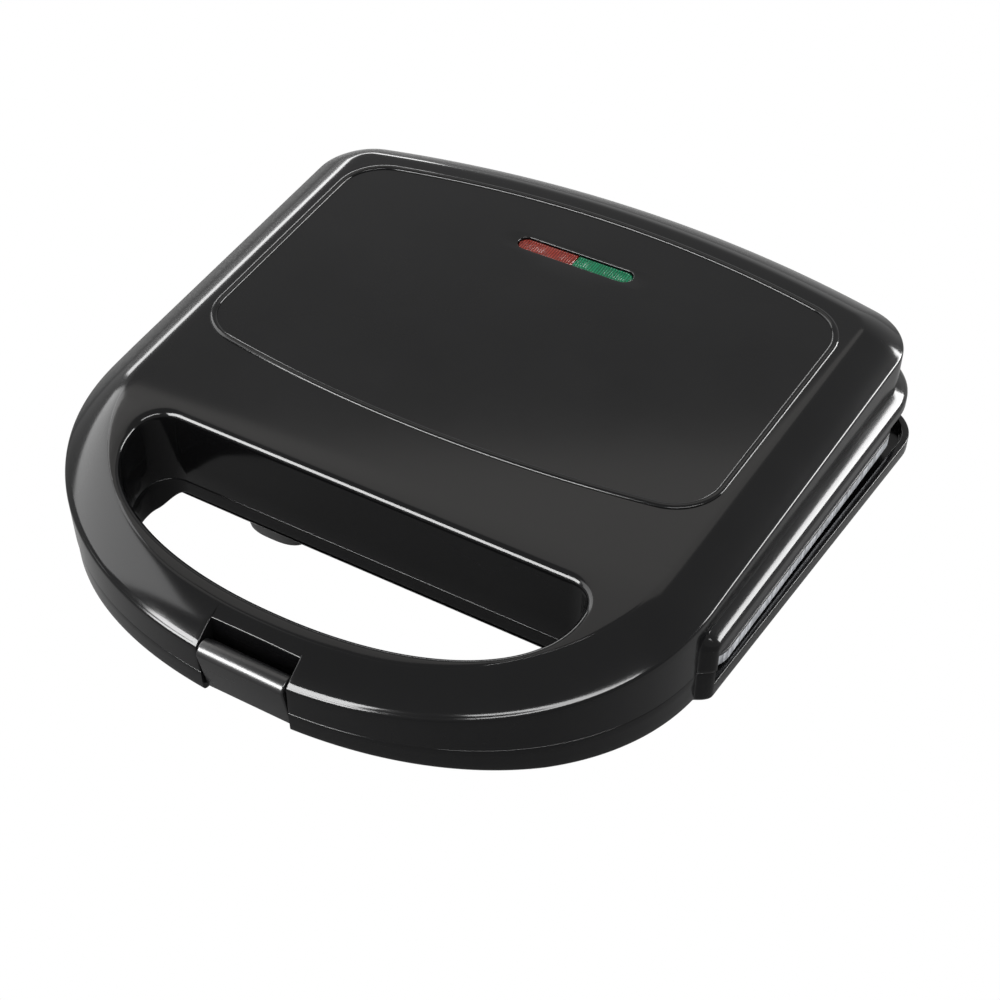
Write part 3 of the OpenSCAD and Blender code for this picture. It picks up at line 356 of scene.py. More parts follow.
def front_point(t, off):
    """Superellipse of the handle's front, whose half width follows the splayed sides."""
    y = -(FRONT_D + off) * np.sin(t) ** (2 / FRONT_N)
    return (HALF_W + off + SIDE_SPLAY * y) * np.cos(t) ** (2 / FRONT_N), y


def corner_middle(half_w, s, r, c, arc_r, sign=1):
    """Centre of a corner's round of radius r. It touches the side, half_w out and splayed by s,
    and lies inside a bow of radius arc_r about (0, c): the rear one, or the front one where sign
    is -1."""
    a = half_w - r * np.sqrt(1 + s * s)
    qa, qb = 1 + s * s, 2 * (a * s - c)
    qc = a * a + c * c - (arc_r - r) ** 2
    y = (-qb + sign * np.sqrt(qb * qb - 4 * qa * qc)) / (2 * qa)
    return a + s * y, y


HOLD_FADE, STATION_GAP = 30, 2.0


def front_stations():
    """Stations of the front half outline, nose to datum: 2 mm apart, closer at the latch notch and
    the front of the steam slot, with pairs at the steps. Gives the angle, the half width held on
    every ring near the nose and how firmly it is held, how deep the notch's edge is sunk, and
    flags: inside the latch notch, inside the block round it, past the front of the slot."""
    n, a = 9, arc(6)[::-1]
    edge = NOTCH_X + NOTCH_EDGE * (1 - np.sin(a))
    beside = [BLOCK_X - 0.6, BLOCK_X, BLOCK_X, 19.5, 21.5, 23.5]
    x = np.concatenate([np.linspace(0, NOTCH_X, n), edge, beside])
    sink = np.concatenate([np.zeros(n), NOTCH_EDGE * (1 - np.cos(a)), np.zeros(len(beside))])
    notch = np.arange(x.size) < n
    block = np.arange(x.size) < n + a.size + 2
    t = angle_at(x, 0)
    fine = np.linspace(t[-1], 0, 4000)
    fx, fy = front_point(fine, 0)
    run = np.concatenate([[0], np.cumsum(np.hypot(np.diff(fx), np.diff(fy)))])
    slot_run = np.interp(-SLOT_Y, -fy[::-1], run[::-1])
    lead = np.arange(STATION_GAP, slot_run - 9, STATION_GAP)
    close = np.linspace(slot_run - 8, slot_run, 21)
    rest = np.linspace(slot_run, run[-1], 5)
    t_more = np.interp(np.concatenate([lead, close, rest]), run, fine)
    t_more[-1] = 0
    x_more = front_point(t_more, 0)[0]
    none = np.zeros(t_more.size, bool)
    past = np.arange(t_more.size) >= lead.size + close.size
    held = np.concatenate([np.ones(x.size), 1 - smooth((x_more - x[-1]) / HOLD_FADE)])
    return dict(
        t=np.concatenate([t, t_more]), x=np.concatenate([x, x_more]), held=held,
        sink=np.concatenate([sink, t_more * 0]), notch=np.concatenate([notch, none]),
        block=np.concatenate([block, none]), slot=np.concatenate([np.zeros(x.size, bool), past]),
    )


FRONT = front_stations()
N_FRONT = FRONT["t"].size
N_SIDE, N_CORNER, N_BOW = 70, 18, 40
SPLIT = N_FRONT - 1


def half_ring(off, rear=REAR_D, arc_r=REAR_R, r=CORNER_R):
    """Right half of the outline grown by off[rows, stations]: superellipse front, splayed side,
    round corner and bowed rear. Returns x and y for every station."""
    f = off[:, :N_FRONT]
    t = FRONT["t"] + FRONT["held"] * (angle_at(FRONT["x"], f) - FRONT["t"])
    fx, fy = front_point(t, f)
    cx, cy = corner_middle(HALF_W, SIDE_SPLAY, r, rear - arc_r, arc_r)
    t0 = -np.arctan(SIDE_SPLAY)
    t1 = np.arctan2(cy - rear + arc_r, cx)
    o = off[:, N_FRONT:N_FRONT + N_SIDE]
    q = np.linspace(0, 1, N_SIDE + 1)[1:] ** 1.15
    sx = (HALF_W + o) * (1 - q) + (cx + (r + o) * np.cos(t0)) * q
    sy = (cy + (r + o) * np.sin(t0)) * q
    o = off[:, N_FRONT + N_SIDE:N_FRONT + N_SIDE + N_CORNER]
    a = np.linspace(t0, t1, N_CORNER + 1)[1:]
    kx, ky = cx + (r + o) * np.cos(a), cy + (r + o) * np.sin(a)
    o = off[:, N_FRONT + N_SIDE + N_CORNER:]
    a = np.linspace(t1, np.pi / 2, N_BOW + 1)[1:]
    bx, by = (arc_r + o) * np.cos(a), rear - arc_r + (arc_r + o) * np.sin(a)
    return np.concatenate([fx, sx, kx, bx], 1), np.concatenate([fy, sy, ky, by], 1)


N_HALF = N_FRONT + N_SIDE + N_CORNER + N_BOW
Y0 = half_ring(np.zeros((1, N_HALF)))[1][0]


def whole_half(key, behind):
    """A value of the front stations carried on to the whole half outline."""
    return np.concatenate([FRONT[key], np.full(N_HALF - N_FRONT, behind)])


IN_NOTCH, IN_BLOCK = whole_half("notch", False), whole_half("block", False)
IN_SLOT, SINK = whole_half("slot", True), whole_half("sink", 0.0)


def around(half):
    """Closes right-half rows into a loop: the left half is its mirror image."""
    left = half[:, -2:0:-1] * MIRROR
    return np.concatenate([half, left], 1)


# ---- Handle opening ----
def hole_ring(p, o):
    """Right half of the opening grown by o. p runs 0 to 1 over the superellipse front, to 2 over
    the rear corner's round and to 3 along the straight rear edge to the middle."""
    t = np.pi / 2 * (1 - np.clip(p, 0, 1))
    fx = (HOLE_W + o) * np.cos(t) ** (2 / HOLE_N)
    fy = -HOLE_Y - (HOLE_D + o) * np.sin(t) ** (2 / HOLE_N)
    a = np.pi / 2 * np.clip(p - 1, 0, 1)
    kx = HOLE_W - HOLE_BACK + (HOLE_BACK + o) * np.cos(a)
    ky = -HOLE_Y + (HOLE_BACK + o) * np.sin(a)
    bx = (HOLE_W - HOLE_BACK) * (3 - np.clip(p, 2, 3))
    x = np.where(p <= 1, fx, np.where(p <= 2, kx, bx))
    y = np.where(p <= 1, fy, np.where(p <= 2, ky, HOLE_REAR + o))
    return x, y


N_SPLIT = 60


def hole_stations():
    """Places round the opening that face the outline's front stations and the split line.
    Near the nose they have the same x, and beyond it the same share of the way round."""
    p = np.linspace(0, 2, 6000)
    x, y = hole_ring(p, 0)
    run = np.concatenate([[0], np.cumsum(np.hypot(np.diff(x), np.diff(y)))])
    ox, oy = front_point(FRONT["t"], 0)
    out = np.concatenate([[0], np.cumsum(np.hypot(np.diff(ox), np.diff(oy)))])
    near = 24.0
    share = np.clip((out - near) / (out[-1] - near), 0, 1)
    along = np.where(out < near, out, near + share * (run[-1] - near))
    return np.concatenate([np.interp(along, run, p), np.linspace(2, 3, N_SPLIT + 1)[1:]])


HOLE_P = hole_stations()
HOLE_X0, HOLE_Y0 = hole_ring(HOLE_P, 0)

# The border narrows where the handle's band leaves no room for it.
ring_x, ring_y = half_ring(np.zeros((1, N_HALF)))
band = np.hypot(ring_x[0, :N_FRONT] - HOLE_X0[:N_FRONT], ring_y[0, :N_FRONT] - HOLE_Y0[:N_FRONT])
BAND_FLAT, BAND_SOFT = 1.6, 2.0
room = band - HOLE_EDGE - BAND_FLAT - BORDER_W
BORDER = np.full(N_HALF, BORDER_W)
BORDER[:N_FRONT] = BORDER_W + (room - np.sqrt(room ** 2 + BAND_SOFT ** 2)) / 2 + 0.02


def top_z(zs, zc, d, width):
    """Height of the lid's top at the plan distance d inside the crest: a bulging slope from the
    shoulder at zs that turns into the deck at zc along a soft hyperbola."""
    q = (np.sqrt(d * d + CREST_SOFT ** 2) - d) / 2
    u = 1 - q / width
    return zs + (zc - zs) * (u + BORDER_BULGE * u * (1 - u))


# ---- Lid ----
def lip_reach(y, h):
    """Outward reach of the lip: a quarter sine across a band that turns a round corner down
    the front of the steam slot."""
    a = y - (SLOT_Y - LIP_FACE)
    b = LIP_TOP - h
    into = np.clip(LIP_CORNER - a, 0, None), np.clip(LIP_CORNER - b, 0, None)
    inside = LIP_CORNER - np.hypot(*into)
    return LIP_W * np.sin(np.pi / 2 * np.clip(inside / LIP_FACE, 0, 1))


def lid_wall():
    """Outer skin of the lid from its lower edge to the crest, then the inner skin back.
    Rows are offsets from the outline and heights. In the latch notch they follow its back wall."""
    foot = np.where(IN_SLOT, LIP_GAP, 0.0)
    floor_z = wall_z(Y0, 0)
    zs = shoulder_z(Y0)
    tall = zs - floor_z
    rise = np.minimum(1, (tall - SHOULDER_R - 0.4) / 17)
    levels = column(0.3, 1.5, 3.5, 5.5, 6.7, 7, 7.3, 8, 9, 9.6, 10.2, 10.8, 11.4, 12, 12.6, 13.2,
                    13.8, 14.2, 14.4, 14.8, 16)
    h = np.maximum(levels, foot) * np.where(IN_SLOT, 1, rise)
    a = arc(5)[:, None]
    h = np.concatenate([foot + EDGE_R * np.sin(a), np.maximum(h, foot + EDGE_R)])
    off = lip_reach(Y0, h)
    off[:a.size] -= EDGE_R * (1 - np.cos(np.pi / 2 - a))
    z = floor_z + h
    # shoulder round
    slope = np.arctan((crest_z(Y0) - zs) * (1 + BORDER_BULGE) / BORDER)
    turn = (np.pi / 2 - slope) * np.linspace(0, 1, 8)[:, None]
    centre_z = zs - SHOULDER_R * np.tan((np.pi / 2 - slope) / 2)
    off = np.concatenate([off, -SHOULDER_R * (1 - np.cos(turn))])
    z = np.concatenate([z, centre_z + SHOULDER_R * np.sin(turn)])
    # border
    start = -off[-1:]
    u = np.concatenate([np.linspace(0.06, 0.86, 11), [0.92, 0.96, 0.985, 1]])[:, None]
    reach = np.maximum(start, u * BORDER)
    off = np.concatenate([off, -reach])
    x, y = half_ring(off)
    crest = crest_z(y[-1])
    z = np.concatenate([z, top_z(zs, crest, reach - BORDER, BORDER)])
    top = lay(x, y, z)
    # the crisp edge beside the notch: points sink along the profile's inward normal
    along = np.gradient(top[..., 1:], axis=0)
    along /= np.linalg.norm(along, axis=-1, keepdims=True) + 1e-9
    notch_y = -LATCH_FRONT + 2 * LATCH_R + LATCH_ROOM
    here = (1 - smooth(top[..., 1] - notch_y + 1)) * SINK
    top[..., 1] += along[..., 1] * here
    top[..., 2] -= along[..., 0] * here
    # inside the notch the skin climbs the recess's back wall and rounds into what is left on top
    back = top.copy()
    k, keep, c = IN_NOTCH, 4, arc(6)[1:, None]
    border_y, border_z = top[-u.size:, :, 1], top[-u.size:, :, 2]
    wall_top = np.array([np.interp(notch_y, border_y[:, j], border_z[:, j])
                         for j in np.flatnonzero(k)])
    n_wall = len(top) - keep - c.size
    foot_z = floor_z[k]
    up = np.linspace(0, 1, n_wall)[:, None]
    back[:n_wall, k, 1] = notch_y
    back[:n_wall, k, 2] = foot_z + (wall_top - NOTCH_EDGE - foot_z) * up
    back[n_wall:-keep, k, 1] = notch_y + NOTCH_EDGE * (1 - np.cos(c))
    back[n_wall:-keep, k, 2] = wall_top - NOTCH_EDGE * (1 - np.sin(c))
    back[:, k, 0] = FRONT["x"][FRONT["notch"]]
    # inner skin, from the lower edge up to the underside of the crest
    h = np.maximum(column(0, 3, 7, 11, 14.4) * np.where(IN_SLOT, 1, rise), foot)
    inner = lip_reach(Y0, h) * (h < 13) - WALL
    z = floor_z + h
    inner = np.concatenate([inner, np.full((1, N_HALF), -WALL), np.full((1, N_HALF), -WALL - 1.2)])
    z = np.concatenate([z, zs[None] - 3.4, zs[None] - 2.4])
    inner = np.concatenate([inner, -0.5 * BORDER[None], -BORDER[None]])
    x, y = half_ring(inner)
    z = np.concatenate([z, (zs + crest)[None] / 2 - WALL, crest[None] - WALL])
    inside = lay(x, y, z)
    k = IN_BLOCK
    inside[:-1, k, 1] = notch_y + WALL
    up = np.linspace(0, 1, len(inside) - 1)[:, None]
    inside[:-1, k, 2] = floor_z[k] + (crest[k] - WALL - 0.4 - floor_z[k]) * up
    inside[:, k, 0] = FRONT["x"][FRONT["block"]]
    return np.concatenate([inside[::-1], back])


def deck_rows(steps):
    """Share of the way from the crest inwards: close together at the start, then even."""
    return np.concatenate([[0, 0.012, 0.03, 0.06, 0.11, 0.2], np.linspace(0.3, 1, steps)])[:, None]


def across(start, x, y, share):
    """Plan places the given share of the way from start's points to x and y."""
    return start[:, 0] + (x - start[:, 0]) * share, start[:, 1] + (y - start[:, 1]) * share


def split_line(under):
    """The line across the deck at the datum where the front and the rear meet, right to middle,
    on the top or on the underside, and its distance inside the crest."""
    x = np.linspace(HALF_W - BORDER_W, 0, N_SPLIT + 1)[1:]
    d = HALF_W - BORDER_W - x
    z = top_z(-SHOULDER_DROP, 0.0, d, BORDER_W) if not under else np.full_like(x, -WALL)
    return lay(x, 0, z), d


def lid_front(wall):
    """The handle's top round the opening: straight across from the crest and the split line to
    the opening's edge, round over it, down its wall, and back along the inner skin."""
    line, gap = split_line(False)
    line_in, _ = split_line(True)
    crest = np.concatenate([wall[-1, :N_FRONT], line])
    crest_in = np.concatenate([wall[0, :N_FRONT], line_in])
    d0 = np.concatenate([np.zeros(N_FRONT), gap])
    zs = np.concatenate([shoulder_z(Y0[:N_FRONT]), np.full(N_SPLIT, -SHOULDER_DROP)])
    width = np.concatenate([BORDER[:N_FRONT], np.full(N_SPLIT, BORDER_W)])
    gx, gy = hole_ring(HOLE_P, HOLE_EDGE)
    x, y = across(crest, gx, gy, deck_rows(5))
    d = d0 + np.hypot(x - crest[:, 0], y - crest[:, 1])
    rows = [lay(x, y, top_z(zs, crest_z(y), d, width))]
    rows[0][0] = crest
    a = arc(11)[1:, None]
    x, y = hole_ring(HOLE_P, HOLE_EDGE * (1 - np.sin(a)))
    z = rows[0][-1, :, 2] + crest_z(y) - crest_z(gy) - HOLE_EDGE * (1 - np.cos(a))
    rows.append(lay(x, y, z))
    hx, hy = hole_ring(HOLE_P, 0)
    bottom = wall_z(hy, 0)
    z = rows[1][-1, :, 2] + (bottom + EDGE_R - rows[1][-1, :, 2]) * column(0.3, 0.7, 1)
    rows.append(lay(hx, hy, z))
    a = arc(4)[1:, None]
    x, y = hole_ring(HOLE_P, EDGE_R * (1 - np.cos(a)))
    rows.append(lay(x, y, bottom + EDGE_R * (1 - np.sin(a))))
    x, y = hole_ring(HOLE_P, WALL)
    for z in (wall_z(y, 0), crest_z(y) - WALL):
        rows.append(lay(x, y, z)[None])
    rows.append(crest_in[None])
    return np.concatenate(rows)


def panel_outline():
    """Points and outward normals every half millimetre round the right half of the panel:
    bowed front, round corner, splayed side, round corner, bowed rear."""
    s, r = PANEL_SPLAY, PANEL_R
    f0, b0 = PANEL_Y0 + PANEL_FRONT_R, PANEL_Y1 - PANEL_REAR_R
    cf = corner_middle(PANEL_W, s, r, f0, PANEL_FRONT_R, -1)
    cb = corner_middle(PANEL_W, s, r, b0, PANEL_REAR_R)
    tf, tb = np.arctan2(cf[1] - f0, cf[0]), np.arctan2(cb[1] - b0, cb[0])
    ts = -np.arctan(s)
    parts = []
    for centre, radius, t0, t1 in (((0, f0), PANEL_FRONT_R, -np.pi / 2, tf), (cf, r, tf, ts),
                                   (cb, r, ts, tb), ((0, b0), PANEL_REAR_R, tb, np.pi / 2)):
        n = int(radius * abs(t1 - t0) / 0.5) + 2
        t = np.linspace(t0, t1, n)
        out = np.stack([np.cos(t), np.sin(t)], 1)
        parts.append(np.concatenate([centre + radius * out, out], 1))
    q = np.linspace(0, 1, 200)[1:-1, None]
    side = parts[1][-1] + (parts[2][0] - parts[1][-1]) * q
    return np.concatenate([parts[0], parts[1][1:], side, parts[2], parts[3][1:]])


PANEL = panel_outline()
PANEL_MID = np.array([0.0, 78.0])


def slot_outline(angle, grow):
    """Stadium of the lens slot, grown by grow, seen at an angle from its middle."""
    half = (LENS_L - LENS_W) / 2
    r = LENS_W / 2 + LENS_SLOT_GAP + grow
    c, s = np.cos(angle), np.sin(angle)
    flat = r / np.maximum(np.abs(s), 1e-9)
    on_flat = np.abs(flat * c) <= half
    reach = np.abs(c) * half + np.sqrt(np.maximum(r * r - (half * s) ** 2, 0))
    d = np.where(on_flat, flat, reach)
    return d * c, LENS_Y + d * s


def lid_rear(wall):
    """The deck behind the datum: out from the crest and the split line to the bead, over it,
    across the bare panel to the lens slot, down into it, and back along the underside.
    The bead is half an ellipse carried round the panel's outline."""
    line, gap = split_line(False)
    line_in, _ = split_line(True)
    crest = np.concatenate([line[::-1], wall[-1, SPLIT:]])
    crest_in = np.concatenate([line_in[::-1], wall[0, SPLIT:]])
    n_rear = N_HALF - SPLIT
    d0 = np.concatenate([gap[::-1], np.zeros(n_rear)])
    ray = np.arctan2(crest[:, 1] - PANEL_MID[1], crest[:, 0])
    at = np.arctan2(PANEL[:, 1] - PANEL_MID[1], PANEL[:, 0])
    ray = np.maximum.accumulate(ray)
    px, py, nx, ny = (np.interp(ray, at, PANEL[:, i]) for i in range(4))
    half = BEAD_W / 2
    x, y = across(crest, px + half * nx, py + half * ny, deck_rows(4))
    d = d0 + np.hypot(x - crest[:, 0], y - crest[:, 1])
    rows = [lay(x, y, top_z(-SHOULDER_DROP, crest_z(y), d, BORDER_W))]
    rows[0][0] = crest
    a = np.linspace(0, np.pi, 25)[1:, None]
    o = half * np.cos(a)
    z = rows[0][-1, :, 2] * (o + half) / BEAD_W + BEAD_H * np.sin(a)
    rows.append(lay(px + nx * o, py + ny * o, z))
    inner = rows[1][-1]
    look = np.arctan2(inner[:, 1] - LENS_Y, inner[:, 0])
    sx, sy = slot_outline(look, LENS_SLOT_ROUND)
    x, y = across(inner, sx, sy, column(0.02, 0.06, 0.14, 0.3, 0.5, 0.75, 0.9, 1))
    rows.append(lay(x, y, 0.0))
    a = arc(6)[1:, None]
    x, y = slot_outline(look, LENS_SLOT_ROUND * (1 - np.sin(a)))
    rows.append(lay(x, y, -LENS_SLOT_ROUND * (1 - np.cos(a))))
    x, y = slot_outline(look, 0)
    rows.append(lay(x, y, -WALL)[None])
    rows.append(crest_in[None])
    return np.concatenate(rows)


# ---- Profiles carried along X, and turned shapes ----
def at_level(y, h):
    """Depth and height in the finished model of a place h above the parting plane."""
    return place(lay(0, np.asarray(y, float), wall_z(y, h)))[..., 1:]


def at_deck(y, z):
    """Depth and height in the finished model of a place on the tipped deck."""
    return place(lay(0, y, z))[..., 1:]


def rounded(corners, n=6):
    """Closed outline through (y, z, radius) corners: straight sides joined by arcs."""
    c = np.array(corners, float)
    p, r = c[:, :2], c[:, 2:]
    a = np.roll(p, 1, 0) - p
    b = np.roll(p, -1, 0) - p
    a /= np.linalg.norm(a, axis=1, keepdims=True)
    b /= np.linalg.norm(b, axis=1, keepdims=True)
    half = np.arccos(np.clip((a * b).sum(1, keepdims=True), -0.999999, 1)) / 2
    middle = a + b + 1e-12
    middle /= np.linalg.norm(middle, axis=1, keepdims=True)
    centre = p + middle * r / np.sin(half)
    start = p + a * r / np.tan(half) - centre
    end = p + b * r / np.tan(half) - centre
    t0 = np.arctan2(start[:, 1], start[:, 0])
    turn = (np.arctan2(end[:, 1], end[:, 0]) - t0 + np.pi) % (2 * np.pi) - np.pi
    t = t0[:, None] + turn[:, None] * np.linspace(0, 1, n)
    points = (centre[:, None] + r[:, None] * np.stack([np.cos(t), np.sin(t)], -1)).reshape(-1, 2)
    apart = np.linalg.norm(points - np.roll(points, 1, 0), axis=1) > 1e-3
    return points[apart]


def carried(profile, x0, x1, edge, steps=5):
    """A closed (y, z) profile carried along X from x0 to x1. Its ends are drawn in along the
    profile's normals by a quarter circle. Returns the grid and the two flat end faces."""
    along = np.roll(profile, -1, 0) - np.roll(profile, 1, 0)
    out = np.stack([along[:, 1], -along[:, 0]], 1)
    out /= np.linalg.norm(out, axis=1, keepdims=True)
    y, z = profile.T
    turning = np.sum(y * np.roll(z, -1) - z * np.roll(y, -1))
    out *= np.sign(turning)
    a = np.linspace(np.pi / 2, 0, steps)
    inset = edge * (1 - np.cos(a))
    inset = np.concatenate([inset, inset[::-1]])
    x = np.concatenate([x0 + edge * (1 - np.sin(a)), x1 - edge * (1 - np.sin(a[::-1]))])
    ring = profile - out * inset[:, None, None]
    grid = lay(x[:, None], ring[..., 0], ring[..., 1])
    return (grid, True), [grid[0], grid[-1]]


def turned(profile, centre, axis="z", n=64):
    """A profile of (radius, distance along the axis) pairs turned once about the axis."""
    t = np.linspace(0, 2 * np.pi, n, endpoint=False)
    r, d = np.array(profile, float).T
    u, v = r[:, None] * np.cos(t), r[:, None] * np.sin(t)
    d = d[:, None] + 0 * u
    grid = {"z": lay(u, v, d), "y": lay(u, d, v), "x": lay(d, u, v)}[axis]
    return grid + np.asarray(centre, float), True


def soft_edge(r0, d0, r1, d1, n=6):
    """Quarter ellipse between two profile points, leaving the first along the radius."""
    a = arc(n)
    return [(r0 + (r1 - r0) * np.sin(t), d0 + (d1 - d0) * (1 - np.cos(t))) for t in a]


def mirrored(grid):
    """The same grid on the left."""
    points, wrap = grid
    return points * MIRROR, wrap


# ---- Base ----
BEND_Y = -2 * FRONT_D / 3
RIM_DISH, RIM_FLOOR = 0.9, 1.5
RIM_FILLET, RIM_ROUND_TOP = 1.6, 0.6
TUB_TOP = PART_H - HOLE_LOW
TUB_R, TUB_EDGE, TUB_CORE, TUB_LEVELS = 18.0, 3.5, 40, (20, 32, TUB_TOP - 0.5)
MOUTH_FRONT, MOUTH_REAR = 2.5, BASE_REAR_D - 4.5
UNDER_ROUND = 1.4


def rim_depth(y):
    """How far the base's rim reaches below the parting: shallow at the nose, deeper behind."""
    return np.interp(y, [-FRONT_D, BEND_Y, SLOT_Y], [RIM_NOSE_H, RIM_BEND_H, RIM_H])


def ledge_reach(y):
    """Outward reach of the ledge: a quarter sine that follows the lid's lip down its front."""
    return LEDGE_W * np.sin(np.pi / 2 * np.clip((y - SLOT_Y + LIP_FACE) / LIP_FACE, 0, 1))


def rim_ring(inset):
    """Right half of the base's outline, drawn in by inset[rows, stations], whose ledge splays
    a little further from the side than the lid does."""
    x, y = half_ring(ledge_reach(Y0) - RIM_SET - inset, BASE_REAR_D, BASE_REAR_R, BASE_CORNER_R)
    flare = ledge_reach(Y0) / LEDGE_W
    return x * (1 + flare * LEDGE_SPLAY * np.clip(y, 0, None) / HALF_W), y


def base_wall():
    """Skin of the base's rim: from its floor inside, up the wall, over the edge or ledge, down
    the outside and round under it, as pairs of an inset and a height. At the latch it follows
    the catch and the groove below."""
    top = np.where(IN_SLOT, -LEDGE_DROP, 0.0)[None]
    low = -rim_depth(Y0)[None]
    a = arc(5)[:, None]
    b = arc(9)[:, None]
    up = np.linspace(0, 1, 4)[:, None]
    steps = [
        (WALL + 2.2, low + RIM_DISH), (WALL + 0.6, low + RIM_DISH + 0.3),
        (WALL, low + RIM_DISH + RIM_FILLET + (top - EDGE_R - low - RIM_DISH - RIM_FILLET) * up),
        (WALL - EDGE_R * (1 - np.cos(a)), top - EDGE_R * (1 - np.sin(a))),
        (EDGE_R * (1 - np.sin(a)), top - EDGE_R * (1 - np.cos(a))),
        (0.0, top - EDGE_R + (low + RIM_ROUND_TOP - top + EDGE_R) * up),
        (RIM_ROUND * (1 - np.cos(b)),
         low + RIM_ROUND_TOP - (RIM_FLOOR + RIM_ROUND_TOP) * np.sin(b)),
        (RIM_ROUND + 1.6, low - RIM_FLOOR)]
    inset, h = (np.concatenate(g) for g in zip(*(np.broadcast_arrays(*p) for p in steps)))
    x, y = rim_ring(inset)
    n_in = 2 + up.size + a.size
    k = IN_BLOCK
    y[:n_in, k] = CATCH_BACK
    x[:, k] = FRONT["x"][FRONT["block"]]
    k = IN_NOTCH
    n_out = y.shape[0] - n_in
    catch = np.concatenate([CATCH_Y + EDGE_R * (1 - np.sin(arc(a.size))), np.full(3, CATCH_Y)])
    drop = np.concatenate([-EDGE_R * (1 - np.cos(arc(a.size))), [-1, -2, -CATCH_H]])
    rest = n_out - catch.size
    deep = -CATCH_H + (low[0, k] - RIM_FLOOR + CATCH_H) * np.linspace(0, 1, rest - 1)[:, None]
    y[n_in:n_in + catch.size, k] = catch[:, None]
    h[n_in:n_in + catch.size, k] = drop[:, None]
    y[n_in + catch.size:-1, k] = CATCH_BACK - WALL
    h[n_in + catch.size:-1, k] = deep
    y[-1, k] = CATCH_BACK - WALL + 0.8
    return lay(x, y, wall_z(y, h))


def base_split(level):
    """Line straight across the base at the datum, from the side to the middle."""
    x = np.linspace(HALF_W - 3, 0, N_SPLIT + 1)[1:]
    return lay(x, 0, wall_z(0, level))


def base_front(wall):
    """Underside of the handle from the rim to the opening, its wall up to the parting, and
    the channel's floor back to the rim."""
    under = np.concatenate([wall[-1, :N_FRONT], base_split(-RIM_H - RIM_FLOOR)])
    floor = np.concatenate([wall[0, :N_FRONT], base_split(-RIM_H + RIM_DISH)])
    hx, hy = hole_ring(HOLE_P, 0)
    low = rim_depth(hy) + RIM_FLOOR
    low = -(low + (HOLE_LOW - low) * smooth((HOLE_P - 1.2) / 0.7))
    gx, gy = hole_ring(HOLE_P, UNDER_ROUND)
    v = column(0, 0.25, 0.5, 0.75, 0.92, 1)
    x, y = across(under, gx, gy, v)
    h0 = under[:, 2] - wall_z(under[:, 1], 0)
    rows = [lay(x, y, wall_z(y, 0) + h0 + (low - h0) * v ** 2)]
    rows[0][0] = under
    a = arc(6)[1:, None]
    x, y = hole_ring(HOLE_P, UNDER_ROUND * (1 - np.sin(a)))
    rows.append(lay(x, y, wall_z(y, low + UNDER_ROUND * (1 - np.cos(a)))))
    h = low + UNDER_ROUND + (-EDGE_R - low - UNDER_ROUND) * column(0.3, 0.7, 1)
    rows.append(lay(hx, hy, wall_z(hy, h)))
    a = arc(4)[1:, None]
    x, y = hole_ring(HOLE_P, EDGE_R * (1 - np.cos(a)))
    rows.append(lay(x, y, wall_z(y, -EDGE_R * (1 - np.sin(a)))))
    x, y = hole_ring(HOLE_P, WALL)
    for h in (0, low + WALL):
        rows.append(lay(x, y, wall_z(y, h))[None])
    rows.append(floor[None])
    return np.concatenate(rows)


def tub_size(z):
    """Half width, front and rear of the tub at height z, which tapers evenly to its floor."""
    u = (z - FOOT_H) / (TUB_TOP - FOOT_H)
    y0 = at_level(TUB_BOTTOM_Y0 + (HOLE_REAR - TUB_BOTTOM_Y0) * u, z - PART_H)[..., 0]
    y1 = at_level(TUB_BOTTOM_Y1 + (BASE_REAR_D - 0.3 - TUB_BOTTOM_Y1) * u, z - PART_H)[..., 0]
    return TUB_BOTTOM_W + (TUB_W - TUB_BOTTOM_W) * u, y0, y1


def tub_ring(z, inset, n=12):
    """Rounded rectangle of the tub at each height z, drawn in by inset."""
    z, inset = z[:, None], inset[:, None]
    w, y0, y1 = tub_size(z)
    r = np.maximum(TUB_R - inset, 0.5)
    t = np.concatenate([np.linspace(k * np.pi / 2, (k + 1) * np.pi / 2, n) for k in range(4)])
    quarter = np.repeat(np.arange(4), n)
    sx = np.where((quarter == 0) | (quarter == 3), 1.0, -1.0)
    sy = np.where(quarter < 2, 1.0, -1.0)
    x = sx * (w - inset - r) + r * np.cos(t)
    y = np.where(sy > 0, y1 - inset - r, y0 + inset + r) + r * np.sin(t)
    return lay(x, y, z)


def tub():
    """Open tub as pairs of a height and an inset: inside floor and wall, outer wall, round edge
    and flat bottom."""
    c, d = 1 - np.cos(arc(7)), 1 - np.sin(arc(7))
    floor = FOOT_H + WALL
    steps = [(floor, TUB_CORE), (floor, WALL + TUB_EDGE)]
    steps += list(zip(floor + TUB_EDGE * c[1:], WALL + TUB_EDGE * d[1:]))
    steps += [(z, WALL) for z in TUB_LEVELS] + [(z, 0) for z in TUB_LEVELS[::-1]]
    steps += list(zip(FOOT_H + TUB_EDGE * d, TUB_EDGE * c)) + [(FOOT_H, TUB_CORE)]
    rings = tub_ring(*np.transpose(steps))
    middle = np.array([0, rings[0, :, 1].mean(), 0])
    caps = [np.broadcast_to(middle + [0, 0, FOOT_H + d], rings[:1].shape) for d in (WALL, 0)]
    return np.concatenate([caps[0], rings, caps[1]])


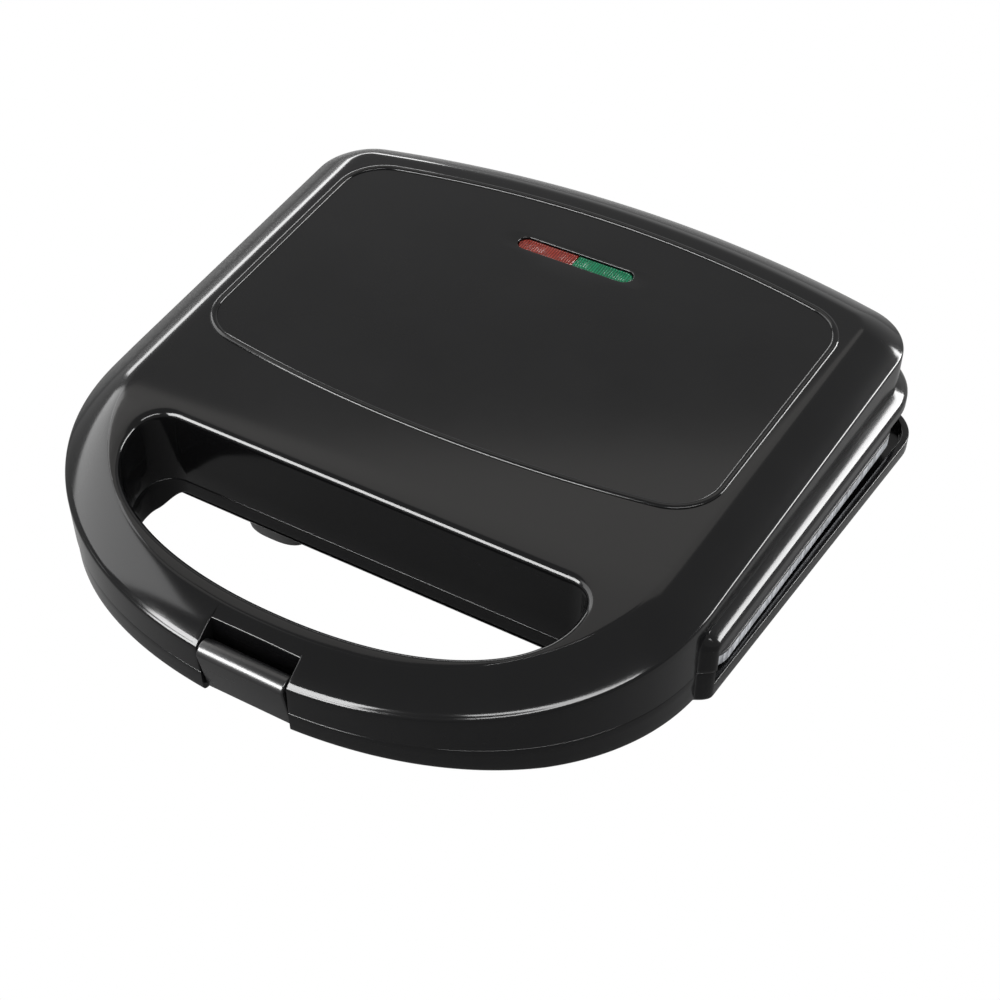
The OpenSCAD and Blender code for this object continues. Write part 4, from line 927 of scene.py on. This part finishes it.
def base_rear(wall):
    """Floor of the rim from its underside to the mouth over the tub and back above."""
    under = np.concatenate([base_split(-RIM_H - RIM_FLOOR)[::-1], wall[-1, SPLIT:]])
    floor = np.concatenate([base_split(-RIM_H + RIM_DISH)[::-1], wall[0, SPLIT:]])
    w, _, _ = tub_size(PART_H - RIM_H)
    r = TUB_R
    side, front, rear = w - WALL / 2 - r, MOUTH_FRONT + r, MOUTH_REAR - r
    core = np.stack([np.clip(under[:, 0], -side, side), np.clip(under[:, 1], front, rear)], 1)
    away = under[:, :2] - core
    edge = core + r * away / np.linalg.norm(away, axis=1, keepdims=True)
    rows = [under]
    for h in (-RIM_H - RIM_FLOOR, -RIM_H + RIM_DISH):
        rows.append(lay(edge[:, 0], edge[:, 1], wall_z(edge[:, 1], h)))
    rows.append(floor)
    return np.stack(rows)


def round_head(turn):
    """Arc of the given turn about the lid hinge's axis."""
    t = np.linspace(0, turn, 25)
    return np.stack([HINGE_Y + KNUCKLE_R * np.cos(t), PART_H + KNUCKLE_R * np.sin(t)], 1)


def ear_profile():
    """Hinge ear: a round head on a foot that stands on the ledge."""
    foot = rounded([(HINGE_Y - KNUCKLE_R, PART_H - 4, 0), (HINGE_Y - KNUCKLE_R, PART_H - RIM_H, 0),
                    (HINGE_Y + 3.5, PART_H - RIM_H, 0),
                    (HINGE_Y + 4.5, PART_H - LEDGE_DROP + 0.5, 0)])
    return np.concatenate([round_head(np.pi), foot])


def knuckle_profile():
    """Lid knuckle: a round end under a web that runs up into the lid's rear wall."""
    reach = at_level(REAR_D - KNUCKLE_X ** 2 / (2 * REAR_R), LIP_TOP)[0] - 1.0
    top = PART_H + LIP_TOP + 3
    web = rounded([(HINGE_Y - KNUCKLE_R + 1.6, PART_H + 7, 3), (HINGE_Y - 4, top, 0),
                   (reach, top, 0), (reach, PART_H + 10, 0),
                   (HINGE_Y + KNUCKLE_R - 1, PART_H + 7, 3)])
    return np.concatenate([round_head(-np.pi), web])


def hinge_pair(profile, x0, x1):
    """Grids and end faces of a hinge piece carried along X, and of its mirror image."""
    grid, ends = carried(profile, x0, x1, HINGE_EDGE)
    return [grid, mirrored(grid)], ends + [e * MIRROR for e in ends]


EAR_SPOTS = (KNUCKLE_X - KNUCKLE_L / 2 - EAR_GAP - EAR_L, KNUCKLE_X + KNUCKLE_L / 2 + EAR_GAP)


def base_casing():
    """Rim, handle channel, tub, hinge ears and the boss round the cord's gland."""
    wall = base_wall()
    grids = [(place(around(g)), True) for g in (wall, base_front(wall), base_rear(wall))]
    grids.append((tub(), True))
    caps = []
    for x in EAR_SPOTS:
        pair, ends = hinge_pair(ear_profile(), x, x + EAR_L)
        grids += pair
        caps += ends
    boss = [(GLAND_R + 0.05, -BOSS_L), (GLAND_R + 0.05, 0)]
    boss += soft_edge(BOSS_R - 0.8, 0, BOSS_R, -0.8) + [(BOSS_R, -BOSS_L)]
    grids.append(turned(boss + boss[:1], (0, INLET_END, INLET_Z), "y"))
    make("base_casing", grids, GLOSS_BLACK, "base", ("base_housing",), caps=caps)


base_casing()


# ---- Lid casing ----
def lid_casing():
    """Wall, handle and deck with the bead, and the hinge knuckles on their webs."""
    wall = lid_wall()
    grids = [(place(around(g)), True) for g in (wall, lid_front(wall), lid_rear(wall))]
    x0, x1 = KNUCKLE_X - KNUCKLE_L / 2, KNUCKLE_X + KNUCKLE_L / 2
    pair, caps = hinge_pair(knuckle_profile(), x0, x1)
    grids += pair
    make("lid_casing", grids, GLOSS_BLACK, "lid", ("lid_housing",), caps=caps)


lid_casing()


# ---- Latch ----
def latch_profile():
    """Barrel over the pin, tongue that leans in to a rounded tip, and the hook behind it."""
    cy, cz = at_deck(-LATCH_FRONT + LATCH_R, -SHOULDER_DROP - NOSE_DROP - LATCH_DROP)
    t = np.linspace(np.pi, -0.42 * np.pi, 41)
    barrel = np.stack([cy + LATCH_R * np.cos(t), cz + LATCH_R * np.sin(t)], 1)
    low = -LATCH_FRONT + LATCH_LEAN
    back = low + LATCH_T

    def corner(y, h, r):
        return (*at_level(y, h), r)

    rest = rounded([
        (barrel[-1, 0] - 0.9, barrel[-1, 1] - 0.6, 0.5), corner(back - 0.5, -HOOK_TOP, 0.5),
        corner(back + HOOK_L - 0.5, -HOOK_TOP, 0.5),
        corner(back + HOOK_L - 0.5, -HOOK_LOW + 0.6, 0.4),
        corner(back + HOOK_L - 1.6, -HOOK_LOW, 0.4), corner(back, -HOOK_LOW, 0.5),
        corner(back, -LATCH_TIP, 0.9), corner(low, -LATCH_TIP, 1.3)])
    return np.concatenate([barrel, rest])


latch_grid, latch_ends = carried(latch_profile(), -LATCH_W / 2, LATCH_W / 2, 0.55, 6)
make("front_latch", [latch_grid], SATIN_BLACK, "latch", ("latch",), caps=latch_ends)


# ---- Cooking plates ----
PLATE_X0, PLATE_X1 = 110.336, 115.912
PLATE_Y0, PLATE_Y1 = -44.012, 91.988
PLATE_R, PLATE_T, PLATE_EDGE, PLATE_ROUND, FACE_GAP = 10.0, 2.0, 4.7, 0.7, 0.25
POCKET_X0, POCKET_X1, POCKET_Y0, POCKET_Y1 = 3.0, 101.336, -38.012, 85.988
POCKET_D, POCKET_DRAFT, HALF_RIDGE, POCKET_R = 11.0, 5.0, 2.0, 7.0
PLATE_NX, PLATE_NY = 250, 124


def plate_plan(inset):
    """Grid over the plate's plan drawn in by inset: rows from front to rear, each spanning the
    splayed sides less what the corner rounds take away."""
    r = PLATE_R - inset
    y0, y1 = PLATE_Y0 + inset, PLATE_Y1 - inset
    ends = 1 - np.cos(arc(10))
    even = np.linspace(y0 + r, y1 - r, PLATE_NY)
    y = np.concatenate([y0 + r * ends[:-1], even, y1 - r * ends[-2::-1]])[:, None]
    side = PLATE_X0 + (PLATE_X1 - PLATE_X0) * (y - PLATE_Y0) / (PLATE_Y1 - PLATE_Y0) - inset
    d = np.clip(np.minimum(y - y0, y1 - y), 0, r)
    w = side - r + np.sqrt(np.maximum(r * r - (r - d) ** 2, 0))
    u = np.linspace(-1, 1, PLATE_NX)
    return w * u, y + 0 * u


def edge_of(grid):
    """The closed loop round a grid's border."""
    return np.concatenate([grid[0], grid[1:, -1], grid[-1, -2::-1], grid[-2:0:-1, 0]])


def pocket_depth(x, y):
    """Depth of the four three-cornered pockets: a soft step across the drafted wall, at the
    distance inside each triangle, whose corners are rounded."""
    x = np.abs(x)
    run, rise = POCKET_X1 - POCKET_X0, POCKET_Y1 - POCKET_Y0
    cut = (rise * (POCKET_X1 - x) - run * (y - POCKET_Y0)) / np.hypot(run, rise)
    depth = 0 * x
    for a, b, c in ((x - POCKET_X0, y - POCKET_Y0, cut), (POCKET_X1 - x, POCKET_Y1 - y, -cut)):
        gaps = [np.clip(POCKET_R - g, 0, None) ** 2 for g in (a, b, c)]
        inside = np.minimum(POCKET_R - np.sqrt(sum(gaps)), np.minimum(np.minimum(a, b), c))
        depth += POCKET_D * smooth((inside - HALF_RIDGE) / POCKET_DRAFT)
    return depth


def plate(name, sign, edge_material, body, node):
    """Cast plate seen as a height field over its plan, with a rounded skirt and a parallel back.
    sign is 1 for a face that looks up and -1 for one that looks down."""
    x, y = plate_plan(PLATE_ROUND)
    depth = pocket_depth(x, y)
    bx, by = plate_plan(PLATE_T)
    back = lay(bx, by, -FACE_GAP - PLATE_T - pocket_depth(bx, by))
    steps = [(PLATE_ROUND * (1 - np.sin(t)), -FACE_GAP - PLATE_ROUND * (1 - np.cos(t)))
             for t in arc(5)]
    steps += [(0, -FACE_GAP - PLATE_EDGE + 0.3), (0.3, -FACE_GAP - PLATE_EDGE),
              (PLATE_T - 0.2, -FACE_GAP - PLATE_EDGE), (PLATE_T, -FACE_GAP - PLATE_EDGE + 0.2)]
    skirt = []
    for inset, z in steps:
        px, py = plate_plan(inset)
        skirt.append(edge_of(lay(px, py, z)))
    skirt.append(edge_of(back))
    face = lay(x, y, -FACE_GAP - depth)
    grids = [(face, False), (np.stack(skirt), True), (back, False)]
    turn = np.array([1, 1, sign])
    grids = [(g * turn + np.array([0, 0, PART_H]), w) for g, w in grids]
    piece = make(name, grids, edge_material, body, (node,), 60)
    piece.data.materials.append(PLATE_COAT)
    mesh = piece.data
    centre = np.empty(len(mesh.polygons) * 3)
    normal = np.empty(len(mesh.polygons) * 3)
    mesh.polygons.foreach_get("center", centre)
    mesh.polygons.foreach_get("normal", normal)
    centre, normal = centre.reshape(-1, 3), normal.reshape(-1, 3)
    coated = (normal[:, 2] * sign > 0.02) & (centre[:, 2] * sign > PART_H * MM * (sign - 1))
    mesh.polygons.foreach_set("material_index", coated.astype(np.int32))


plate("lower_cooking_plate", 1, PLATE_METAL, "base", "lower_plate")
plate("upper_cooking_plate", -1, PLATE_COAT, "lid", "upper_plate")


# ---- Indicator lenses ----
LENS_RIB, LENS_RIB_H, LENS_CROWN, LENS_STEP = 0.9, 0.16, 0.1, 0.22


def along_outline(outline, step):
    """The same closed outline with points at every step along it."""
    closed = np.concatenate([outline, outline[:1]])
    run = np.concatenate([[0], np.cumsum(np.linalg.norm(np.diff(closed, axis=0), axis=1))])
    at = np.linspace(0, run[-1], int(run[-1] / step), endpoint=False)
    return np.stack([np.interp(at, run, closed[:, i]) for i in range(2)], 1)


def lens(name, side, material, node):
    """Half a stadium with a raised rim, a small groove inside it and a crowned field of fine
    cross ribs. Rings of its outline close up on its middle line."""
    r = LENS_W / 2
    x0, x1 = 0.1, LENS_L / 2
    outline = rounded([(x0, -r, 0.3), (x1, -r, r - 0.01), (x1, r, r - 0.01), (x0, r, 0.3)], 14)
    outline = along_outline(outline, LENS_STEP)
    centre = np.stack([np.clip(outline[:, 0], x0 + r * 0.9, x1 - r), 0 * outline[:, 1]], 1)
    q = column(0, 0, 0.06, 0.13, 0.17, 0.22, 0.27, 0.34, 0.45, 0.6, 0.8, 1.0, 1.0)
    z = column(-WALL - 1, -0.3, -0.06, 0, 0, -0.12, -0.14, 0, 0, 0, 0, 0, -WALL - 1)
    ribs = column(0, 0, 0, 0, 0, 0, 0, 0.6, 1, 1, 1, 1, 0)
    ring = outline + (centre - outline) * q[..., None]
    wave = 0.5 - 0.5 * np.cos(2 * np.pi * ring[..., 0] / LENS_RIB)
    crown = LENS_CROWN * ribs * (1 - (ring[..., 1] / r) ** 2)
    height = z + LENS_RIB_H * ribs * (wave - 1) + crown - LENS_DROP * (z > -WALL)
    grid = place(lay(side * ring[..., 0], LENS_Y + ring[..., 1], height))
    grids = [(grid[:-1], True), (grid[[0, -1]], True)]
    make(name, grids, material, "lid", (node,), 50)


lens("red_lens_half", -1, RED_LENS, "lens_red")
lens("green_lens_half", 1, GREEN_LENS, "lens_green")


# ---- Feet, gland, pins and screws ----
FOOT_X, FOOT_YS = 63.0, (-17.443, 81.219)
FOOT_L, FOOT_R, FOOT_TOP_R, FOOT_N = 8.0, 7.6, 9.0, 2.8


def foot(x, y):
    """Oblong rubber foot: superelliptic rings from a dished tread up a soft edge and a drafted
    side."""
    t = np.linspace(0, 2 * np.pi, 72, endpoint=False)
    c = np.sign(np.cos(t)) * np.abs(np.cos(t)) ** (2 / FOOT_N)
    s = np.sign(np.sin(t)) * np.abs(np.sin(t)) ** (2 / FOOT_N)
    r = column(0, 3.5, 5.6, 6.3, 7.1, FOOT_R - 0.1, FOOT_R + 0.2, FOOT_TOP_R - 0.1, FOOT_TOP_R,
               FOOT_TOP_R, 0)
    z = column(0.5, 0.5, 0.4, 0.1, 0, 0.15, 0.7, FOOT_H - 0.5, FOOT_H - 0.05, FOOT_H, FOOT_H)
    long = (r + FOOT_L / 2) * (r > 0)
    return lay(x + long * c, y + r * s, z), True


make("rubber_feet", [foot(s * FOOT_X, y) for s in (-1, 1) for y in FOOT_YS], FOOT_RUBBER, "base",
     ("feet",))


def gland():
    """Moulded gland: a plain sleeve round its empty bore, with a rounded flange."""
    inner = -INLET_L + GLAND_FLANGE
    profile = [(INLET_R, inner), (GLAND_R - 0.6, inner),
               (GLAND_R - 0.02, inner + 0.6), (GLAND_R - 0.02, -0.05),
               (BOSS_R - 1.0, 0.0), (BOSS_R - 0.5, 0.5), (BOSS_R - 0.5, GLAND_FLANGE - 0.9),
               (BOSS_R - 0.9, GLAND_FLANGE - 0.3), (BOSS_R - 1.6, GLAND_FLANGE),
               (INLET_R + 1.9, GLAND_FLANGE), (INLET_R + 1.5, GLAND_FLANGE - 0.5),
               (INLET_R + 0.9, GLAND_FLANGE - 0.5), (INLET_R + 0.5, GLAND_FLANGE),
               (INLET_R, GLAND_FLANGE - 0.4)]
    return turned(profile + profile[:1], (0, INLET_END, INLET_Z), "y")


make("cord_gland_sleeve", [gland()], FOOT_RUBBER, "base", ("cord_gland",))


def rounded_pin(r, x0, x1, y, z):
    """Turned pin along X, whose ends are cut by e: a chamfer where x0 is less than x1."""
    e = 0.35
    profile = [(0, x0), (r - e, x0), (r, x0 + e), (r, x1 - e), (r - e, x1), (0, x1)]
    return turned(profile, (0, y, z), "x", 40)


CROSS_HALF, CROSS_SOFT, CROSS_DEPTH = 0.3, 0.18, 0.62
PITCH, THREAD_DEPTH = 1.0, 0.16


def pan_head(x, y, z, down, r, h, shank_r, shank_l):
    """Screw: a domed head with a cross recess, over a threaded shank. The recess is a cross of
    two soft bars sunk into the dome, and the thread a helical wave on the shank."""
    t = np.linspace(0, 2 * np.pi, 72, endpoint=False)
    q = column(0, 0.12, 0.24, 0.32, 0.4, 0.5, 0.6, 0.7, 0.8, 0.9, 0.97, 1.0)
    u, v = q * r * np.cos(t), q * r * np.sin(t)
    dome = h * (0.45 + 0.55 * np.sqrt(np.maximum(1 - q ** 2.6, 0)))
    bar = np.minimum(np.abs(u), np.abs(v))
    sunk = 1 - smooth((bar - CROSS_HALF) / CROSS_SOFT)
    sunk *= 1 - smooth((q * r - r * 0.55) / (r * 0.12))
    rows = [lay(u, v, dome - h * CROSS_DEPTH * sunk)]
    rows.append(lay(r * np.cos(t), r * np.sin(t), 0)[None])
    d = np.arange(0, shank_l, 0.2)[:, None]
    wave = 0.5 + 0.5 * np.cos(2 * np.pi * d / PITCH - t)
    thread = shank_r - THREAD_DEPTH * wave * smooth(d / PITCH)
    rows.append(lay(thread * np.cos(t), thread * np.sin(t), -d))
    rows.append(lay(0 * t, 0, -shank_l)[None])
    grid = np.concatenate(rows)
    if down:
        grid = grid * np.array([1, 1, -1])
    return grid + np.array([x, y, z]), True


pin_x0, pin_x1 = EAR_SPOTS[0] + 0.5, EAR_SPOTS[1] + EAR_L - 0.5
make("hinge_rods", [rounded_pin(HINGE_PIN_R, s * pin_x0, s * pin_x1, HINGE_Y, PART_H)
                    for s in (-1, 1)], SCREW_STEEL, "base", ("hinge_pins",))
latch_y, latch_z = at_deck(-LATCH_FRONT + LATCH_R, -SHOULDER_DROP - NOSE_DROP - LATCH_DROP)
make("latch_rod", [rounded_pin(LATCH_PIN_R, 1 - BLOCK_X, BLOCK_X - 1, latch_y, latch_z)],
     SCREW_STEEL, "lid", ("latch_pin",))


HEAD_R, HEAD_H, SCREW_R = 2.9, 1.8, 1.5


def screws(name, node, body, down, spots=None):
    """Screws of a CAD node, between the heights of that node's box. Their places are mirrored in
    X, and where none are given they are the four corners of the box."""
    low, high = (np.array(c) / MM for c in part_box(node))
    if spots is None:
        spots = [(high[0] - HEAD_R, low[1] + HEAD_R), (high[0] - HEAD_R, high[1] - HEAD_R)]
    z = low[2] + HEAD_H if down else high[2] - HEAD_H
    length = high[2] - low[2] - HEAD_H
    make(name, [pan_head(side * x, y, z, down, HEAD_R, HEAD_H, SCREW_R, length) for side in (-1, 1)
                for x, y in spots], SCREW_STEEL, body, (node,))


POST_SPOTS = [(74.036, 63.988), (24.0, -18.012)]
screws("plate_screws_upper", "upper_plate_screws", "lid", True, POST_SPOTS)
screws("plate_screws_lower", "base_screws", "base", True, POST_SPOTS)
screws("element_screws_lower", "lower_clamp_screws", "base", True)
screws("element_screws_upper", "upper_clamp_screws", "lid", False)


# ---- CAD nodes that stay ----
def finish(material, *names):
    """Puts a material into every slot of the named CAD nodes."""
    for name in names:
        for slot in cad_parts[name].material_slots:
            slot.material = material


finish(ELEMENT_STEEL, "lower_element", "upper_element")
finish(CERAMIC, "lower_insulators", "upper_insulators", "terminal_block", "thermal_fuse",
       "thermostat")
finish(SHEET_STEEL, "lower_clamps", "upper_clamps", "lower_reflector", "upper_reflector",
       "fuse_clip")
finish(LAMP_GLASS, "lamp_red", "lamp_green")
finish(WHITE_PLASTIC, "lamp_holder")


# ---- Stage, lights and camera ----
CAMERA_AT, FOCAL, SENSOR = (0.23167, -0.40002, 0.43861), 66.46, 36
CAMERA_AXES = ((0.8663, -0.34792, 0.35845), (0.49885, 0.56499, -0.65723),
               (0.02614, 0.74816, 0.66300))
WORLD_LEVEL, FLOOR_GREY, FLOOR_HALF = 0.85, 0.45, 6.0
LIGHT_AIM, LIGHT_DISTANCE = (0, 0, 0.05), 1.3


def camera():
    """The photograph's view, found from the lid's mirror symmetry."""
    data = bpy.data.cameras.new("view")
    data.sensor_width = SENSOR
    data.lens = FOCAL
    data.clip_start, data.clip_end = 0.05, 20
    cam = linked("view", data)
    cam.matrix_world = Matrix.Translation(CAMERA_AT) @ Matrix(CAMERA_AXES).to_4x4()
    bpy.context.scene.camera = cam


def softbox(name, azimuth, elevation, size, radiance, color=(1, 1, 1)):
    """Area light that faces the toaster and shows only in its gloss, so that colours keep the
    world's plain level. Azimuth turns from +X towards +Y, in degrees, and the power follows from
    how bright the panel looks."""
    data = bpy.data.lights.new(name, "AREA")
    data.shape = "RECTANGLE"
    data.color = color
    data.size, data.size_y = size
    data.energy = np.pi * size[0] * size[1] * radiance
    lamp = linked(name, data)
    a, e = np.radians([azimuth, elevation])
    aim = Vector(LIGHT_AIM)
    out = Vector((np.cos(a) * np.cos(e), np.sin(a) * np.cos(e), np.sin(e)))
    lamp.location = aim + LIGHT_DISTANCE * out
    lamp.rotation_euler = (aim - lamp.location).to_track_quat("-Z", "Y").to_euler()
    lamp.visible_diffuse = False


def white_for(tree, output, other, *rays):
    """Plain white to the camera's and the named kinds of ray, the given shader to all others."""
    path = node(tree, "LightPath")
    chosen = path.outputs["Is Camera Ray"]
    for ray in rays:
        either = node(tree, "Math")
        either.operation = "MAXIMUM"
        tree.links.new(chosen, either.inputs[0])
        tree.links.new(path.outputs[ray], either.inputs[1])
        chosen = either.outputs["Value"]
    glow = node(tree, "Emission" if output == "Surface" else "Background", Color=(1, 1, 1, 1))
    mix = node(tree, "MixShader")
    tree.links.new(chosen, mix.inputs["Fac"])
    tree.links.new(other.outputs[0], mix.inputs[1])
    tree.links.new(glow.outputs[0], mix.inputs[2])
    return mix


def stage():
    """World that looks plain white, also in gloss and through glass, a floor that is white to the
    camera and grey with the toaster's shadow in gloss, and the lights."""
    world = bpy.data.worlds.new("studio")
    bpy.context.scene.world = world
    world.use_nodes = True
    tree = world.node_tree
    other = tree.nodes["Background"]
    other.inputs["Color"].default_value = (1, 1, 1, 1)
    other.inputs["Strength"].default_value = WORLD_LEVEL
    mix = white_for(tree, "World", other, "Is Glossy Ray", "Is Transmission Ray")
    tree.links.new(mix.outputs[0], tree.nodes["World Output"].inputs["Surface"])
    m, tree, bsdf = shader("pale_floor", (FLOOR_GREY,) * 3, 0.9)
    mix = white_for(tree, "Surface", bsdf, "Is Transmission Ray")
    tree.links.new(mix.outputs[0], tree.nodes["Material Output"].inputs["Surface"])
    mesh = bpy.data.meshes.new("floor")
    s = FLOOR_HALF
    mesh.from_pydata([(-s, -s, 0), (s, -s, 0), (s, s, 0), (-s, s, 0)], [], [(0, 1, 2, 3)])
    mesh.materials.append(m)
    floor = linked("floor", mesh)
    softbox("right_rear_light", 43, 14, (0.8, 0.36), 46)
    softbox("right_front_light", 322, 40, (1.2, 0.16), 50)
    softbox("left_light", 185, 34, (1.2, 0.8), 9)
    softbox("left_rear_light", 137, 12, (0.8, 0.16), 12)
    softbox("front_left_light", 246, 24, (0.95, 0.54), 66)
    softbox("top_light", 118, 62, (1.6, 0.7), 1.9, color=(1, 0.97, 0.93))


camera()
stage()
bpy.context.scene.view_settings.view_transform = "Standard"
